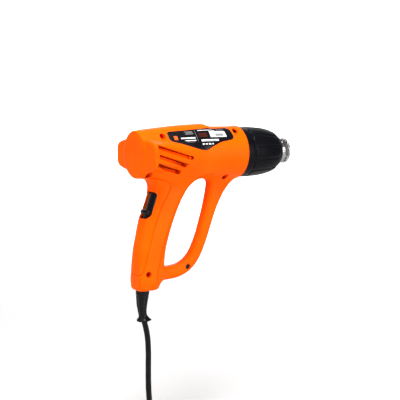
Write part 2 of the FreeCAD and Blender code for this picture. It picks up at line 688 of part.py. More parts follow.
def cord_entry():
    """Jacket end, clamp bar and its two screws in the foot of the grip."""
    jacket = rod(boot_point(-8.0), boot_point(-14.5), CORD_RADIUS)
    middle = boot_point(-11.4)
    bar = block(middle.x - 3.5, middle.x + 3.5, -11.4, 11.4, middle.z - 2.8, middle.z + 2.8)
    bar = bar.cut(rod(boot_point(-2.0), boot_point(-22.0), CORD_RADIUS))
    bar = bar.cut(block(middle.x - 10, middle.x, -4.0, 4.0, middle.z - 5, middle.z + 5))
    clamp_screws = []
    for y in (-8.6, 8.6):
        hole = rod(V(middle.x - 5, y, middle.z), V(middle.x + 8, y, middle.z), 1.3)
        bar = bar.cut(hole)
        shank = rod(V(middle.x - 4, y, middle.z), V(middle.x + 3.5, y, middle.z), 1.3)
        head = rod(V(middle.x + 3.5, y, middle.z), V(middle.x + 5.5, y, middle.z), 2.5)
        clamp_screws.append(shank.fuse(head))
    return jacket, bar, Part.makeCompound(clamp_screws)


def wiring():
    """Two leads from the jacket to the switch and two from the switch to the heater."""
    leads = []
    for y in (-1.6, 1.6):
        up = [boot_point(-14.8) + V(0, y, 0), boot_point(-17.2) + V(0, y, 0), V(-9.0, y * 1.2, -63.0),
              V(-6.0, y * 1.4, -46), V(-3.0, y * 1.6, -22), V(5.0, y * 2, 1), V(13.0, y * 2, 14.5)]
        leads.append(swept(up, 1.1))
        over = [V(27.5, y * 2, 48), V(37.0, y * 2.5, 53.5), V(49.5, y * 3, 58.2), V(60.0, y * 3, 64.6),
                V(69.0, y * 3, 71.0), V(76.0, y * 3, 79.0)]
        leads.append(swept(over, 1.1))
    return Part.makeCompound(leads)


def rectifier():
    board = barrel_tube(-14.0, -12.4, 13.0, 3.0)
    diodes = []
    for index in range(4):
        centre = on_axis(-12.4, 8.4, math.radians(45 + 90 * index))
        body = block(-12.4, -9.6, centre.y - 2.6, centre.y + 2.6, centre.z - 1.3, centre.z + 1.3)
        diodes.append(body)
    capacitor = block(-21.5, -14.0, -7.0, 7.0, AXIS_Z - 4.0, AXIS_Z + 6.0)
    return board, Part.makeCompound(diodes), capacitor


def side_label(side):
    """Thin blank decal that bends round the side of the barrel."""
    outline = [(13, 118.0), (17, 119.4), (100, 122.6), (105, 120.6), (106.5, 112), (103, 109.4), (80, 102.0),
               (66, 97.6), (58, 96.6), (38, 100.4), (14, 107.4), (10.5, 113)]
    sheet = turned([(REAR_X, REAR_RADIUS + 0.05), (BARREL_MID_X, BARREL_MID_RADIUS + 0.05),
                    (RING_X, RING_RADIUS + 0.05), (RING_X, RING_RADIUS + 0.35),
                    (BARREL_MID_X, BARREL_MID_RADIUS + 0.35), (REAR_X, REAR_RADIUS + 0.35)])
    points = [V(x, 0, z) for x, z in outline]
    face = Part.Face(Part.makePolygon(points + points[:1]))
    sheet = face.extrude(V(0, side * 45, 0)).common(sheet)
    return sheet.cut(spine(0)).cut(ears(0))


# ---------------------------------------------------------------- write the pieces
os.makedirs("parts", exist_ok=True)

shell_right, shell_left = housing()
save(shell_right, "housing_right")
save(shell_left, "housing_left")
save(TOP_PLATE, "top_plate")
save(side_label(-1), "label_right")
save(side_label(1), "label_left")
save(screws(), "housing_screws")

save(collar(), "front_collar")
save(nozzle(), "nozzle_tube")
save(barrel_tube(SHIELD_X[0], SHIELD_X[1], SHIELD_RADIUS, SHIELD_RADIUS - SKIN), "heat_shield")
save(barrel_tube(SLEEVE_X[0], SLEEVE_X[1], SLEEVE_RADIUS, SLEEVE_RADIUS - SKIN), "mica_sleeve")
save(heater_core(), "heater_core")
save(heating_coil(), "heating_coil")
save(pierced_disc(CORE_X[1], CORE_X[1] + 2.5, 15.7, 12.4, 1.7, 10, 9.6), "outlet_disc")
terminals = Part.makeCompound([rod(on_axis(79.5, 11.5, a), on_axis(92.0, 11.5, a), 0.9)
                               for a in (math.radians(112.5), math.radians(247.5))])
save(pierced_disc(87.0, 89.5, 15.7, 11.5, 2.0, 8, 4.0).cut(terminals), "inlet_disc")
save(rod(on_axis(76.0, 8.0, 0.6), on_axis(86.0, 8.0, 0.6), 2.4), "thermal_fuse")
save(terminals, "heater_terminals")

motor_can, motor_cap, bushes, magnets, armature, shaft = motor_parts()
save(motor_can, "motor_can")
save(motor_cap, "motor_end_cap")
save(bushes, "shaft_bushes")
save(magnets, "motor_magnets")
save(armature, "motor_armature")
save(shaft, "motor_shaft")
save(fan(), "fan_wheel")
save(air_guide(), "air_guide")
save(Part.makeCompound([barrel_tube(x, x + 3.0, 28.9, 28.4) for x in (40.0, 50.0)]), "guide_seals")

board, diodes, capacitor = rectifier()
save(board, "rectifier_board")
save(diodes, "rectifier_diodes")
save(capacitor, "suppression_capacitor")
save(switch_body(), "switch_body")
save(slider(), "switch_slider")
save(wiring(), "internal_wiring")

jacket, clamp_bar, clamp_screws = cord_entry()
save(jacket, "cord_jacket_end")
save(clamp_bar, "cord_clamp")
save(clamp_screws, "clamp_screws")
save(boot(), "strain_relief")

drop = swept(CORD_DROP, CORD_RADIUS, "cord drop")
tail = swept(CORD_TAIL, CORD_RADIUS, "cord tail")
save(Part.makeCompound([drop, tail]), "power_cord")
save(coil_ring(), "cord_coil")
save(coil_tie(), "coil_tie")
plug_body, plug_pins = plug()
save(plug_body, "plug_body")
save(plug_pins, "plug_pins")
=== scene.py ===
import json
import math

import bmesh
import bpy
import numpy as np
from mathutils import Matrix, Vector
from mathutils.geometry import delaunay_2d_cdt


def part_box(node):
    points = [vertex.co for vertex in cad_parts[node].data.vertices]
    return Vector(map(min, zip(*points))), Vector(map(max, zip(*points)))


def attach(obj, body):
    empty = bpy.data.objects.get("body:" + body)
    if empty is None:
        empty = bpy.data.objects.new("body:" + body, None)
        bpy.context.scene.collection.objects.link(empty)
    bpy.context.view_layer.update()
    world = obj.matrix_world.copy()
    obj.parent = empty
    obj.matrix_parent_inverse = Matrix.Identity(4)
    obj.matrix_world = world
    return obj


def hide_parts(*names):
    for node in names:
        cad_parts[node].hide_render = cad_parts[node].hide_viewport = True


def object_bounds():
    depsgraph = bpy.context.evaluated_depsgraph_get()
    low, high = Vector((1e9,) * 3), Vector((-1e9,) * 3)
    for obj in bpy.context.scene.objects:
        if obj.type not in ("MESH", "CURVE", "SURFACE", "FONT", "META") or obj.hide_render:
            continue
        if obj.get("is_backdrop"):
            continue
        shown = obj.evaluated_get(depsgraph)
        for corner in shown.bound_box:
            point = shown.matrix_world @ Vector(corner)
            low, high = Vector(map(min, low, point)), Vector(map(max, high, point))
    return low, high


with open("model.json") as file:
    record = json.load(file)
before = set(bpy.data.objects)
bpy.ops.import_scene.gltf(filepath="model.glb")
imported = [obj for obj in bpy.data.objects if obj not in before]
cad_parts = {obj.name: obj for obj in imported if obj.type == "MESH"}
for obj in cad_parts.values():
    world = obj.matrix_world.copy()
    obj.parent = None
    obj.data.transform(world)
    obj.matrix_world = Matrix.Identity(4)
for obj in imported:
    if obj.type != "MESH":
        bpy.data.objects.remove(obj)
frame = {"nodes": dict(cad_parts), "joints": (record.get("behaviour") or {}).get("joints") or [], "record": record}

CAD_BOX = [list(corner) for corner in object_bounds()]

# The scene is in metres. The moulded pieces are shaped in millimetres and scaled by MM.
MM = 0.001


def node_box(name):
    """Lowest and highest corners of a CAD node, in millimetres."""
    low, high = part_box(name)
    return np.array(low) / MM, np.array(high) / MM


# ---------------------------------------------------------------- camera
AZIMUTH = math.radians(32.5)
PITCH = math.radians(6.3)
DISTANCE = 1.050
AIM = Vector((0.070, 0.0, 0.030))
LENS = 72.0
SENSOR = 36.0


def make_camera():
    data = bpy.data.cameras.new("camera")
    data.lens = LENS
    data.sensor_width = SENSOR
    data.clip_end = 20.0
    camera = bpy.data.objects.new("camera", data)
    bpy.context.scene.collection.objects.link(camera)
    level = math.cos(PITCH)
    ahead = Vector((math.sin(AZIMUTH) * level, math.cos(AZIMUTH) * level, -math.sin(PITCH)))
    camera.location = AIM - ahead * DISTANCE
    camera.rotation_euler = (math.pi / 2 - PITCH, 0.0, -AZIMUTH)
    bpy.context.scene.camera = camera


make_camera()

# ---------------------------------------------------------------- the lead
CORD_RADIUS = 3.7
TURN_RADII = (34.0, 41.4, 48.8)
COIL_CENTRE = (-57.3, -45.0)
TOP_TURN_Z = -255.7
BOTTOM_TURN_Z = -263.1
POINTS_PER_TURN = 24
COIL_DEGREES = (8.0, 2070.0)
INWARD_AT = (270.0, 630.0)          # degrees along the coil at which the top layer moves in by a turn
OUTWARD_AT = (1350.0, 1710.0)       # and at which the bottom layer moves out by a turn
DESCENT_DEGREES = (1020.0, 1075.0)
CORD_EXIT = (-14.43, 0.0, -121.18)

# From the boot down to the coil: the same points as the route in the CAD source.
CORD_DROP = [
    CORD_EXIT, (-11.67, 0.0, -130.79), (-9.4, 0.0, -144.0), (-8.6, 0.0, -163.0), (-9.3, 0.0, -192.0),
    (-8.5, 0.0, -223.7), (-8.5, -6.1, -238.4), (-8.5, -17.3, -249.6), (-8.5, -32.0, -255.7),
]
# From the coil to the plug.
CORD_TAIL = [(-45.3, 3.8, -263.1), (-31.3, 3.8, -262.5), (-19.3, 3.8, -259.5), (-7.3, 3.8, -259.5)]


def ramp(value, start, end):
    t = np.clip((value - start) / (end - start), 0.0, 1.0)
    return t * t * (3.0 - 2.0 * t)


def coil_turns():
    """Six turns in two layers: outer to inner on top, then inner to outer underneath."""
    outer_to_inner = TURN_RADII[::-1]
    step = 360.0 / POINTS_PER_TURN
    grow = 1.0 / math.cos(math.radians(step / 2))
    first, last = COIL_DEGREES
    points = []
    angle = first
    while angle <= last + 1e-6:
        radius = outer_to_inner[0]
        for turn, change in enumerate(INWARD_AT):
            radius += (outer_to_inner[turn + 1] - outer_to_inner[turn]) * ramp(angle, change, change + 80.0)
        for turn, change in enumerate(OUTWARD_AT):
            radius += (TURN_RADII[turn + 1] - TURN_RADII[turn]) * ramp(angle, change, change + 60.0)
        height = TOP_TURN_Z + (BOTTOM_TURN_Z - TOP_TURN_Z) * ramp(angle, *DESCENT_DEGREES)
        turn_angle = -math.radians(angle)
        points.append((COIL_CENTRE[0] + radius * grow * math.cos(turn_angle),
                       COIL_CENTRE[1] + radius * grow * math.sin(turn_angle), height))
        angle += (last - first) / round((last - first) / step)
    return points


def make_cord():
    route = CORD_DROP + coil_turns() + CORD_TAIL
    data = bpy.data.curves.new("power_cord_line", "CURVE")
    data.dimensions = "3D"
    data.bevel_depth = 1.0
    data.bevel_resolution = 5
    data.resolution_u = 4
    data.use_fill_caps = True
    spline = data.splines.new("NURBS")
    spline.points.add(len(route) - 1)
    for point, place in zip(spline.points, route):
        point.co = (place[0] * MM, place[1] * MM, place[2] * MM, 1.0)
        point.radius = CORD_RADIUS * MM
    spline.order_u = 3
    spline.use_endpoint_u = True
    cord = bpy.data.objects.new("mains_lead", data)
    bpy.context.scene.collection.objects.link(cord)
    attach(cord, "gun")
    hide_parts("power_cord", "cord_coil")
    return cord


# ---------------------------------------------------------------- shaping tools
# A moulded piece is a field: a function of x, y, z in millimetres, below zero inside the piece.
def blend_min(a, b, k):
    """Union with a fillet about k wide."""
    h = np.maximum(k - np.abs(a - b), 0.0) / k
    return np.minimum(a, b) - h * h * k * 0.25


def blend_max(a, b, k):
    """Intersection with its edge rounded over about k."""
    return -blend_min(-a, -b, k)


def rounded_box(qx, qy, corner):
    """Field of a rectangle with round corners, from the distances outside its two pairs of sides."""
    qx = qx + corner
    qy = qy + corner
    outside = np.hypot(np.maximum(qx, 0.0), np.maximum(qy, 0.0))
    return outside + np.minimum(np.maximum(qx, qy), 0.0) - corner


def smooth_line(points, per_span=8):
    """Catmull-Rom curve through the points, with their extra columns carried along."""
    p = np.array(points, float)
    p = np.vstack([2 * p[0] - p[1], p, 2 * p[-1] - p[-2]])
    made = []
    for a, b, c, d in zip(p, p[1:], p[2:], p[3:]):
        for t in np.arange(per_span) / per_span:
            made.append(0.5 * (2 * b + (c - a) * t + (2 * a - 5 * b + 4 * c - d) * t * t
                               + (3 * b - a - 3 * c + d) * t ** 3))
    made.append(p[-2])
    return np.array(made)


def from_nearest(value, pitch):
    """Distance from the nearest whole number of pitches."""
    return np.abs(value / pitch - np.round(value / pitch)) * pitch


def line_distance(x, z, line):
    """Distance to a line in the XZ plane, less the half thickness in its third column, if it has one."""
    best = None
    for a, b in zip(line, line[1:]):
        ax, az = b[0] - a[0], b[1] - a[1]
        t = np.clip(((x - a[0]) * ax + (z - a[1]) * az) / (ax * ax + az * az), 0.0, 1.0)
        d = np.hypot(x - a[0] - t * ax, z - a[1] - t * az)
        if len(a) > 2:
            d = d - (a[2] + t * (b[2] - a[2]))
        best = d if best is None else np.minimum(best, d)
    return best


def surface_net(field, low, high, step):
    """Points and quads of the surface where the field is zero."""
    axes = [np.arange(a - 2.0 * step, b + 2.5 * step, step) for a, b in zip(low, high)]
    values = np.array(field(axes[0][:, None, None], axes[1][None, :, None], axes[2][None, None, :]))
    inside = values < 0
    cells = tuple(len(a) - 1 for a in axes)
    count = np.zeros(cells, np.float32)
    total = np.zeros(cells + (3,), np.float32)
    crossings = []
    for axis in range(3):
        u, v = (axis + 1) % 3, (axis + 2) % 3
        first = [slice(None)] * 3
        second = [slice(None)] * 3
        first[axis] = slice(None, -1)
        second[axis] = slice(1, None)
        a, b = values[tuple(first)], values[tuple(second)]
        crosses = inside[tuple(first)] != inside[tuple(second)]
        share = np.where(crosses, a / np.where(crosses, a - b, 1.0), 0.0)
        crossings.append((crosses, inside[tuple(first)]))
        for du in (0, 1):
            for dv in (0, 1):
                corner = [slice(None)] * 3
                corner[u] = slice(du, du + cells[u])
                corner[v] = slice(dv, dv + cells[v])
                here = crosses[tuple(corner)]
                count += here
                total[..., axis] += share[tuple(corner)]
                total[..., u] += here * du
                total[..., v] += here * dv
    active = count > 0
    ids = np.full(cells, -1, np.int64)
    ids[active] = np.arange(active.sum())
    places = np.argwhere(active)
    points = (places + total[active] / count[active][:, None]) * step + [a[0] for a in axes]
    quads = []
    for axis, (crosses, starts_inside) in enumerate(crossings):
        u, v = (axis + 1) % 3, (axis + 2) % 3
        at = np.argwhere(crosses)
        at = at[(at[:, u] > 0) & (at[:, v] > 0)]
        back_u, back_v = np.eye(3, dtype=int)[[u, v]]
        ring = [at - back_u - back_v, at - back_v, at, at - back_u]
        quad = np.stack([ids[tuple(r.T)] for r in ring], axis=1)
        flip = ~starts_inside[tuple(at.T)]
        quad[flip] = quad[flip][:, ::-1]
        quads.append(quad)
    return points, np.vstack(quads)


def settle(points, field, reach, rounds=3):
    """Move points onto the field's surface by Newton steps, none longer than reach."""
    h = 0.02
    for _ in range(rounds):
        x, y, z = points.T
        value = field(x, y, z)
        slope = np.stack([field(x + h, y, z) - field(x - h, y, z),
                          field(x, y + h, z) - field(x, y - h, z),
                          field(x, y, z + h) - field(x, y, z - h)], axis=1) / (2 * h)
        size = np.maximum((slope ** 2).sum(1), 0.05)
        move = slope * (value / size)[:, None]
        length = np.linalg.norm(move, axis=1)
        move *= np.minimum(1.0, reach / np.maximum(length, 1e-9))[:, None]
        points = points - move
    return points


def relax(points, edges, share):
    """Move each point part of the way to the middle of its neighbours."""
    total = np.zeros_like(points)
    count = np.zeros(len(points))
    for a, b in ((0, 1), (1, 0)):
        for axis in range(3):
            total[:, axis] += np.bincount(edges[:, a], points[edges[:, b], axis], len(points))
        count += np.bincount(edges[:, a], minlength=len(points))
    return points + share * (total / np.maximum(count, 1)[:, None] - points)


def mesh_edges(mesh):
    pairs = np.empty(len(mesh.edges) * 2, np.int64)
    mesh.edges.foreach_get("vertices", pairs)
    return pairs.reshape(-1, 2)


def mesh_points(mesh):
    flat = np.empty(len(mesh.vertices) * 3)
    mesh.vertices.foreach_get("co", flat)
    return flat.reshape(-1, 3)


def moulded(name, field, low, high, step, fine=None, finer_times=0):
    """Mesh object of a field. Where fine(x, y, z) is below zero, faces are divided finer_times."""
    points, quads = surface_net(field, low, high, step)
    mesh = bpy.data.meshes.new(name)
    mesh.from_pydata(points.tolist(), [], quads.tolist())
    edges = mesh_edges(mesh)
    for _ in range(3):
        points = relax(points, edges, 0.5)
        points = settle(points, field, 0.5 * step, 2)
    mesh.vertices.foreach_set("co", points.ravel())
    size = step
    for _ in range(finer_times):
        bm = bmesh.new()
        bm.from_mesh(mesh)
        places = mesh_points(mesh)
        near = fine(*places.T) < size
        bm.verts.ensure_lookup_table()
        chosen = [e for e in bm.edges if near[e.verts[0].index] and near[e.verts[1].index]]
        bmesh.ops.subdivide_edges(bm, edges=chosen, cuts=1, use_grid_fill=True)
        bm.to_mesh(mesh)
        bm.free()
        size *= 0.5
        places = mesh_points(mesh)
        edges = mesh_edges(mesh)
        near = fine(*places.T) < size
        for _ in range(2):
            eased = relax(places, edges, 0.4)
            places[near] = eased[near]
            places[near] = settle(places[near], field, 0.6 * size, 3)
        mesh.vertices.foreach_set("co", places.ravel())
    return mesh_object(name, mesh)


def moulded_in(node, name, field, step):
    """Mesh object of a field inside a CAD node's box."""
    low, high = node_box(node)
    return moulded(name, field, low, high, step)


def mesh_object(name, mesh, scale=MM):
    mesh.transform(Matrix.Scale(scale, 4))
    mesh.shade_smooth()
    mesh.validate()
    mesh.update()
    made = bpy.data.objects.new(name, mesh)
    bpy.context.scene.collection.objects.link(made)
    return made


def face_outwards(mesh):
    bm = bmesh.new()
    bm.from_mesh(mesh)
    bmesh.ops.recalc_face_normals(bm, faces=bm.faces)
    bm.to_mesh(mesh)
    bm.free()


# ---------------------------------------------------------------- driving sizes
HOUSING_LOW, HOUSING_HIGH = node_box("housing_right")
NOZZLE_END_X = node_box("nozzle_tube")[1][0]
MOUNTS = {mount["name"]: np.array(mount["pos_m"]) / MM for mount in frame["record"]["mounts"]}
AXIS_Z = MOUNTS["nozzle"][2]
REAR_X = MOUNTS["rear_face"][0]
RING_X = HOUSING_HIGH[0]
EAR_REACH = -HOUSING_LOW[1]
FOOT_Z = HOUSING_LOW[2] + 2.2
WALL = 2.6
SEAM = 0.04                     # each shell stops this far from the middle plane

# ---------------------------------------------------------------- housing
BARREL = [(-27.5, 29.4), (10.0, 31.2), (50.0, 33.0), (70.0, 33.6), (100.0, 34.1), (125.0, 34.5)]
SPINE = [(-27.5, 120.5), (-11.0, 123.4), (10.0, 126.0), (32.0, 128.1), (55.0, 129.4), (71.0, 129.9),
         (76.5, 128.0), (80.0, 127.1), (100.0, 126.6), (125.0, 126.0)]
SPINE_CROWN = 24.0
EAR_TALL = 14.6
EAR_SHOULDER = (27.0, 22.0)
EAR_END_X = 62.0
EAR_SWELL = 3.1                 # the ears reach this much further at the back than the CAD's flat faces
EAR_TAPER = 22.0                # and this much less at their front ends
EAR_HOLLOW = 6.0
EAR_SETBACK = 2.0               # the ears' rear faces stand this far ahead of the round cap between them

# (height, centre x, half depth, half width, corner radius) of the grip's and foot's level sections
GRIP = [
    (-80.0, -13.0, 15.4, 14.2, 10.5),
    (-76.0, -13.0, 16.9, 15.6, 11.5),
    (-71.0, -12.4, 18.2, 16.6, 12.5),
    (-66.5, -11.2, 19.6, 17.0, 13.0),
    (-63.5, -10.4, 20.4, 17.0, 13.0),
    (-60.0, -9.9, 20.1, 17.0, 13.0),
    (-50.0, -9.0, 20.0, 16.8, 13.0),
    (-29.0, -6.4, 20.2, 16.5, 13.0),
    (-9.0, -1.5, 21.0, 16.5, 13.0),
    (11.0, 4.5, 22.3, 16.5, 13.0),
    (31.0, 12.8, 23.3, 16.5, 13.0),
    (46.0, 20.0, 25.6, 16.6, 13.0),
    (60.0, 26.0, 31.0, 17.0, 12.5),
    (74.0, 30.0, 34.0, 17.0, 12.0),
]
HEEL = (-28.5, -66.0)           # rounded bar across the heel of the grip
HEEL_HALF_WIDTH = 9.0
HEEL_RADIUS = 3.3
# (x, z, half thickness) along the middle of the finger guard
GUARD = smooth_line([
    (103.0, 68.0, 20.0), (93.5, 46.0, 12.8), (84.6, 22.0, 8.9), (77.4, 0.8, 7.8), (70.0, -20.0, 7.4),
    (60.5, -39.6, 7.5), (49.5, -52.0, 8.0), (35.0, -59.2, 8.3), (18.0, -61.0, 8.5), (0.0, -61.2, 8.5)], 5)
GUARD_HALF_WIDTH = 8.5
GUARD_ROUND = 6.0

SCREWS = [(2.0, 114.3), (112.0, 119.4), (100.0, 60.6), (-15.0, 67.6), (-16.0, -57.5), (46.5, -55.0)]
SCREW_SEAT_Y = -3.6
WELL_RADIUS = 3.8
BOSS_RADIUS = 5.2
SLOTS = [((-17.0, 102.4), (36.4, 87.4)), ((-15.6, 91.1), (28.6, 78.9)), ((-17.7, 81.2), (23.7, 69.9))]
SLOT_HALF_HEIGHT = 2.5
SLOT_DEPTH_Y = 14.0
SLOT_WALL = 7.4                 # the wall is this thick round the slots
SLOT_FLOOR = 6.0                # a slot's floor is this deep
SLOT_FLOOR_FRONT = 1.9          # the same at the front ends, where the air guide is close
SLOT_FLOOR_CHANGE_X = (32.0, 34.0)
SLOT_THROUGH = 1.5              # a slot goes right through only above this height from its middle
GRILLE_MIDDLE = (6.0, 86.5)
GRILLE_HALF = (28.0, 21.0)
PANEL_LINE = smooth_line([
    (-22.0, 65.5), (-10.1, 63.6), (1.3, 61.2), (11.0, 58.6), (15.6, 55.6), (15.6, 50.0), (12.2, 42.0),
    (4.0, 29.0), (-6.2, 4.5), (-13.5, -20.1), (-20.1, -44.8), (-22.0, -52.0), (-25.2, -57.4),
    (-31.0, -59.4), (-42.0, -57.6)], 5)
FRONT_LINE = smooth_line([
    (77.0, 65.6), (70.0, 64.8), (59.0, 60.8), (47.4, 53.4), (38.0, 44.0), (26.0, 24.6), (16.4, 5.6),
    (9.0, -13.2), (0.9, -40.6), (-5.1, -65.8)], 5)
GROOVE_DEPTH = 1.3
GROOVE_HALF = 0.5
PLATE_SEAT_X = (80.0, 121.0)
PLATE_SEAT_HALF_WIDTH = 9.0
PLATE_SEAT_Z = 125.0
COLLAR_SEAT_RADIUS = 31.7
COLLAR_SEAT_DEPTH = 9.0
LEAD_HOLE_RADIUS = 6.5
LEAD_HOLE_DEPTH = 12.0
PILOT_RADIUS = 1.5
PILOT_DEPTH_Y = 6.5

SLIDE_AXIS = next(np.array(j["axis"]) for j in frame["joints"] if j["name"] == "switch_slide")
SLIDE_OUT = np.array((-SLIDE_AXIS[2], 0.0, SLIDE_AXIS[0]))     # out of the back of the grip
SLIDE_REF = np.array((-14.2, 0.0, 21.0))
OPENING_HALF_WIDTH = 13.4
OPENING_REACH = (-9.4, 26.0)       # along the slide, below and above the reference point
BOOT_TOP = np.array((-16.5, 0.0, -81.5))
BOOT_AXIS = np.array((-0.0698, 0.0, -0.9976))


def line_at(x, table):
    """Value of a table's other columns at x, on a smooth curve through its rows."""
    curve = smooth_line(table, 6)
    return [np.interp(x, curve[:, 0], curve[:, column]) for column in range(1, curve.shape[1])]


def slide_places(x, z):
    """Distance along the slide and out of the grip's back."""
    dx, dz = x - SLIDE_REF[0], z - SLIDE_REF[2]
    return dx * SLIDE_AXIS[0] + dz * SLIDE_AXIS[2], dx * SLIDE_OUT[0] + dz * SLIDE_OUT[2]


def barrel_field(x, y, z):
    radius = line_at(x, BARREL)[0]
    around = np.hypot(y, z - AXIS_Z) - radius
    return blend_max(blend_max(around, REAR_X - x, 4.0), x - RING_X, 0.8)


def spine_field(x, y, z):
    top = line_at(x, SPINE)[0]
    around = np.hypot(y, z - (top - SPINE_CROWN)) - SPINE_CROWN
    return blend_max(blend_max(around, REAR_X - x, 3.0), x - RING_X, 0.8)


def ears_field(x, y, z):
    fade = np.clip((x - REAR_X) / (EAR_END_X - REAR_X), 0.0, 1.2)
    side, rise = np.abs(y), np.abs(z - AXIS_Z)
    hollow = EAR_HOLLOW * np.sin(np.pi * np.minimum(fade, 1.0)) * (1.0 - fade)
    reach = EAR_REACH + EAR_SWELL - EAR_TAPER * fade - hollow
    tall = EAR_TALL - 5.0 * fade
    shoulder_y = EAR_SHOULDER[0] - 6.0 * fade
    shoulder_z = EAR_SHOULDER[1] - 5.0 * fade
    slope_y, slope_z = shoulder_z - tall, reach - shoulder_y
    slope = ((side - reach) * slope_y + (rise - tall) * slope_z) / np.hypot(slope_y, slope_z)
    field = blend_max(blend_max(side - reach, slope, 7.0), rise - shoulder_z, 6.0)
    return blend_max(blend_max(field, REAR_X + EAR_SETBACK - x, 5.0), x - EAR_END_X, 3.0)


def grip_field(x, y, z):
    centre, depth, width, corner = line_at(z, GRIP)
    section = rounded_box(np.abs(x - centre) - depth, np.abs(y) - width, corner)
    beyond = np.maximum(np.abs(y) - HEEL_HALF_WIDTH, 0.0)
    heel = np.hypot(np.hypot(x - HEEL[0], z - HEEL[1]), beyond) - HEEL_RADIUS
    section = blend_min(section, heel, 2.0)
    return blend_max(blend_max(section, FOOT_Z - z, 3.5), z - 80.0, 1.0)


def guard_field(x, y, z):
    across = line_distance(x, z, GUARD)
    return rounded_box(across, np.abs(y) - GUARD_HALF_WIDTH, GUARD_ROUND)


def gun_field(x, y, z):
    barrel = blend_min(barrel_field(x, y, z), spine_field(x, y, z), 5.0)
    barrel = blend_min(barrel, ears_field(x, y, z), 2.5)
    guard = guard_field(x, y, z)
    body = blend_min(blend_min(barrel, grip_field(x, y, z), 13.0), guard, 9.0)
    return blend_max(blend_max(body, REAR_X - x, 2.0), x - RING_X, 0.8)


def grooves(x, z):
    """How far the fine lines in the shells' sides are cut in."""
    nearest = np.minimum(line_distance(x, z, PANEL_LINE), line_distance(x, z, FRONT_LINE))
    return GROOVE_DEPTH * np.exp(-(nearest / GROOVE_HALF) ** 2)


def slots_field(x, y, z, depth):
    """Air slots. Only their upper parts go right through, so that little of the inside shows."""
    nearest = None
    for rear, front in SLOTS:
        ax, az = front[0] - rear[0], front[1] - rear[1]
        length = math.hypot(ax, az)
        dx, dz = x - (rear[0] + front[0]) / 2, z - (rear[1] + front[1]) / 2
        along = np.abs(dx * ax + dz * az) / length
        across = (dz * ax - dx * az) / length
        slot = rounded_box(along - length / 2 - SLOT_HALF_HEIGHT, np.abs(across) - SLOT_HALF_HEIGHT, 1.0)
        floor = SLOT_FLOOR + (SLOT_FLOOR_FRONT - SLOT_FLOOR) * ramp(x, *SLOT_FLOOR_CHANGE_X)
        slot = np.maximum(slot, np.minimum(depth - floor, SLOT_THROUGH - across))
        nearest = slot if nearest is None else np.minimum(nearest, slot)
    return np.maximum(nearest, SLOT_DEPTH_Y - np.abs(y))


def opening_field(x, y, z):
    along, out = slide_places(x, z)
    middle = sum(OPENING_REACH) / 2
    half = (OPENING_REACH[1] - OPENING_REACH[0]) / 2
    corner = np.where(along > middle, 4.0, 8.0)
    mouth = rounded_box(np.abs(along - middle) - half, np.abs(y) - OPENING_HALF_WIDTH, corner)
    return np.maximum(mouth, np.abs(out) - 12.0)


def screw_distance(x, z):
    nearest = None
    for sx, sz in SCREWS:
        d = np.hypot(x - sx, z - sz)
        nearest = d if nearest is None else np.minimum(nearest, d)
    return nearest


def cuts_field(x, y, z, side, depth):
    """Everything cut out of a shell: slots, switch opening, seats, lead hole, screw wells and pilots."""
    cut = np.minimum(slots_field(x, y, z, depth), opening_field(x, y, z))
    around = np.hypot(y, z - AXIS_Z)
    cut = np.minimum(cut, np.maximum(around - COLLAR_SEAT_RADIUS, RING_X - COLLAR_SEAT_DEPTH - x))
    seat = np.maximum(PLATE_SEAT_X[0] - x, x - PLATE_SEAT_X[1])
    seat = np.maximum(seat, np.maximum(np.abs(y) - PLATE_SEAT_HALF_WIDTH, PLATE_SEAT_Z - z))
    cut = np.minimum(cut, seat)
    bx, bz = x - BOOT_TOP[0], z - BOOT_TOP[2]
    hole = np.hypot(bx * BOOT_AXIS[2] - bz * BOOT_AXIS[0], y) - LEAD_HOLE_RADIUS
    cut = np.minimum(cut, np.maximum(hole, z - (FOOT_Z + LEAD_HOLE_DEPTH)))
    screw = screw_distance(x, z)
    if side < 0:
        return np.minimum(cut, np.maximum(screw - WELL_RADIUS, y - SCREW_SEAT_Y))
    return np.minimum(cut, np.maximum(screw - PILOT_RADIUS, y - PILOT_DEPTH_Y))


def shell_field(side):
    def field(x, y, z):
        gun = gun_field(x, y, z)
        beside = np.abs(x - GRILLE_MIDDLE[0]) - GRILLE_HALF[0]
        above = np.abs(z - GRILLE_MIDDLE[1]) - GRILLE_HALF[1]
        grille = ramp(rounded_box(beside, above, 4.0), 1.5, 0.0)
        wall = WALL + (SLOT_WALL - WALL) * grille
        shell = blend_max(gun + grooves(x, z), -(gun + wall), 0.6)
        boss = np.maximum(screw_distance(x, z) - BOSS_RADIUS, gun + 0.8)
        shell = blend_min(shell, boss, 0.8)
        shell = blend_max(shell, -cuts_field(x, y, z, side, -gun), 0.6)
        return blend_max(shell, SEAM - side * y, 0.5)
    return field


def shell_details(side):
    """Below zero close to whatever needs a finer mesh."""
    def near(x, y, z):
        line = np.minimum(line_distance(x, z, PANEL_LINE), line_distance(x, z, FRONT_LINE))
        gun = gun_field(x, y, z)
        outer = np.abs(gun)
        close = np.maximum(line, outer) - 0.6
        cut = np.abs(cuts_field(x, y, z, side, -gun))
        return np.minimum(close, np.maximum(cut, outer) - 0.6)
    return near


def make_housing():
    step, finer_times = ((1.0, 2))
    for name, side in (("housing_right", -1), ("housing_left", 1)):
        low = HOUSING_LOW.copy()
        high = HOUSING_HIGH.copy()
        low[1], high[1] = (-EAR_REACH - 2.0, 0.0) if side < 0 else (0.0, EAR_REACH + 2.0)
        details = shell_details(side)
        shell = moulded(name + "_shell", shell_field(side), low, high, step, details, finer_times)
        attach(shell, "gun")
        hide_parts(name)
        yield shell


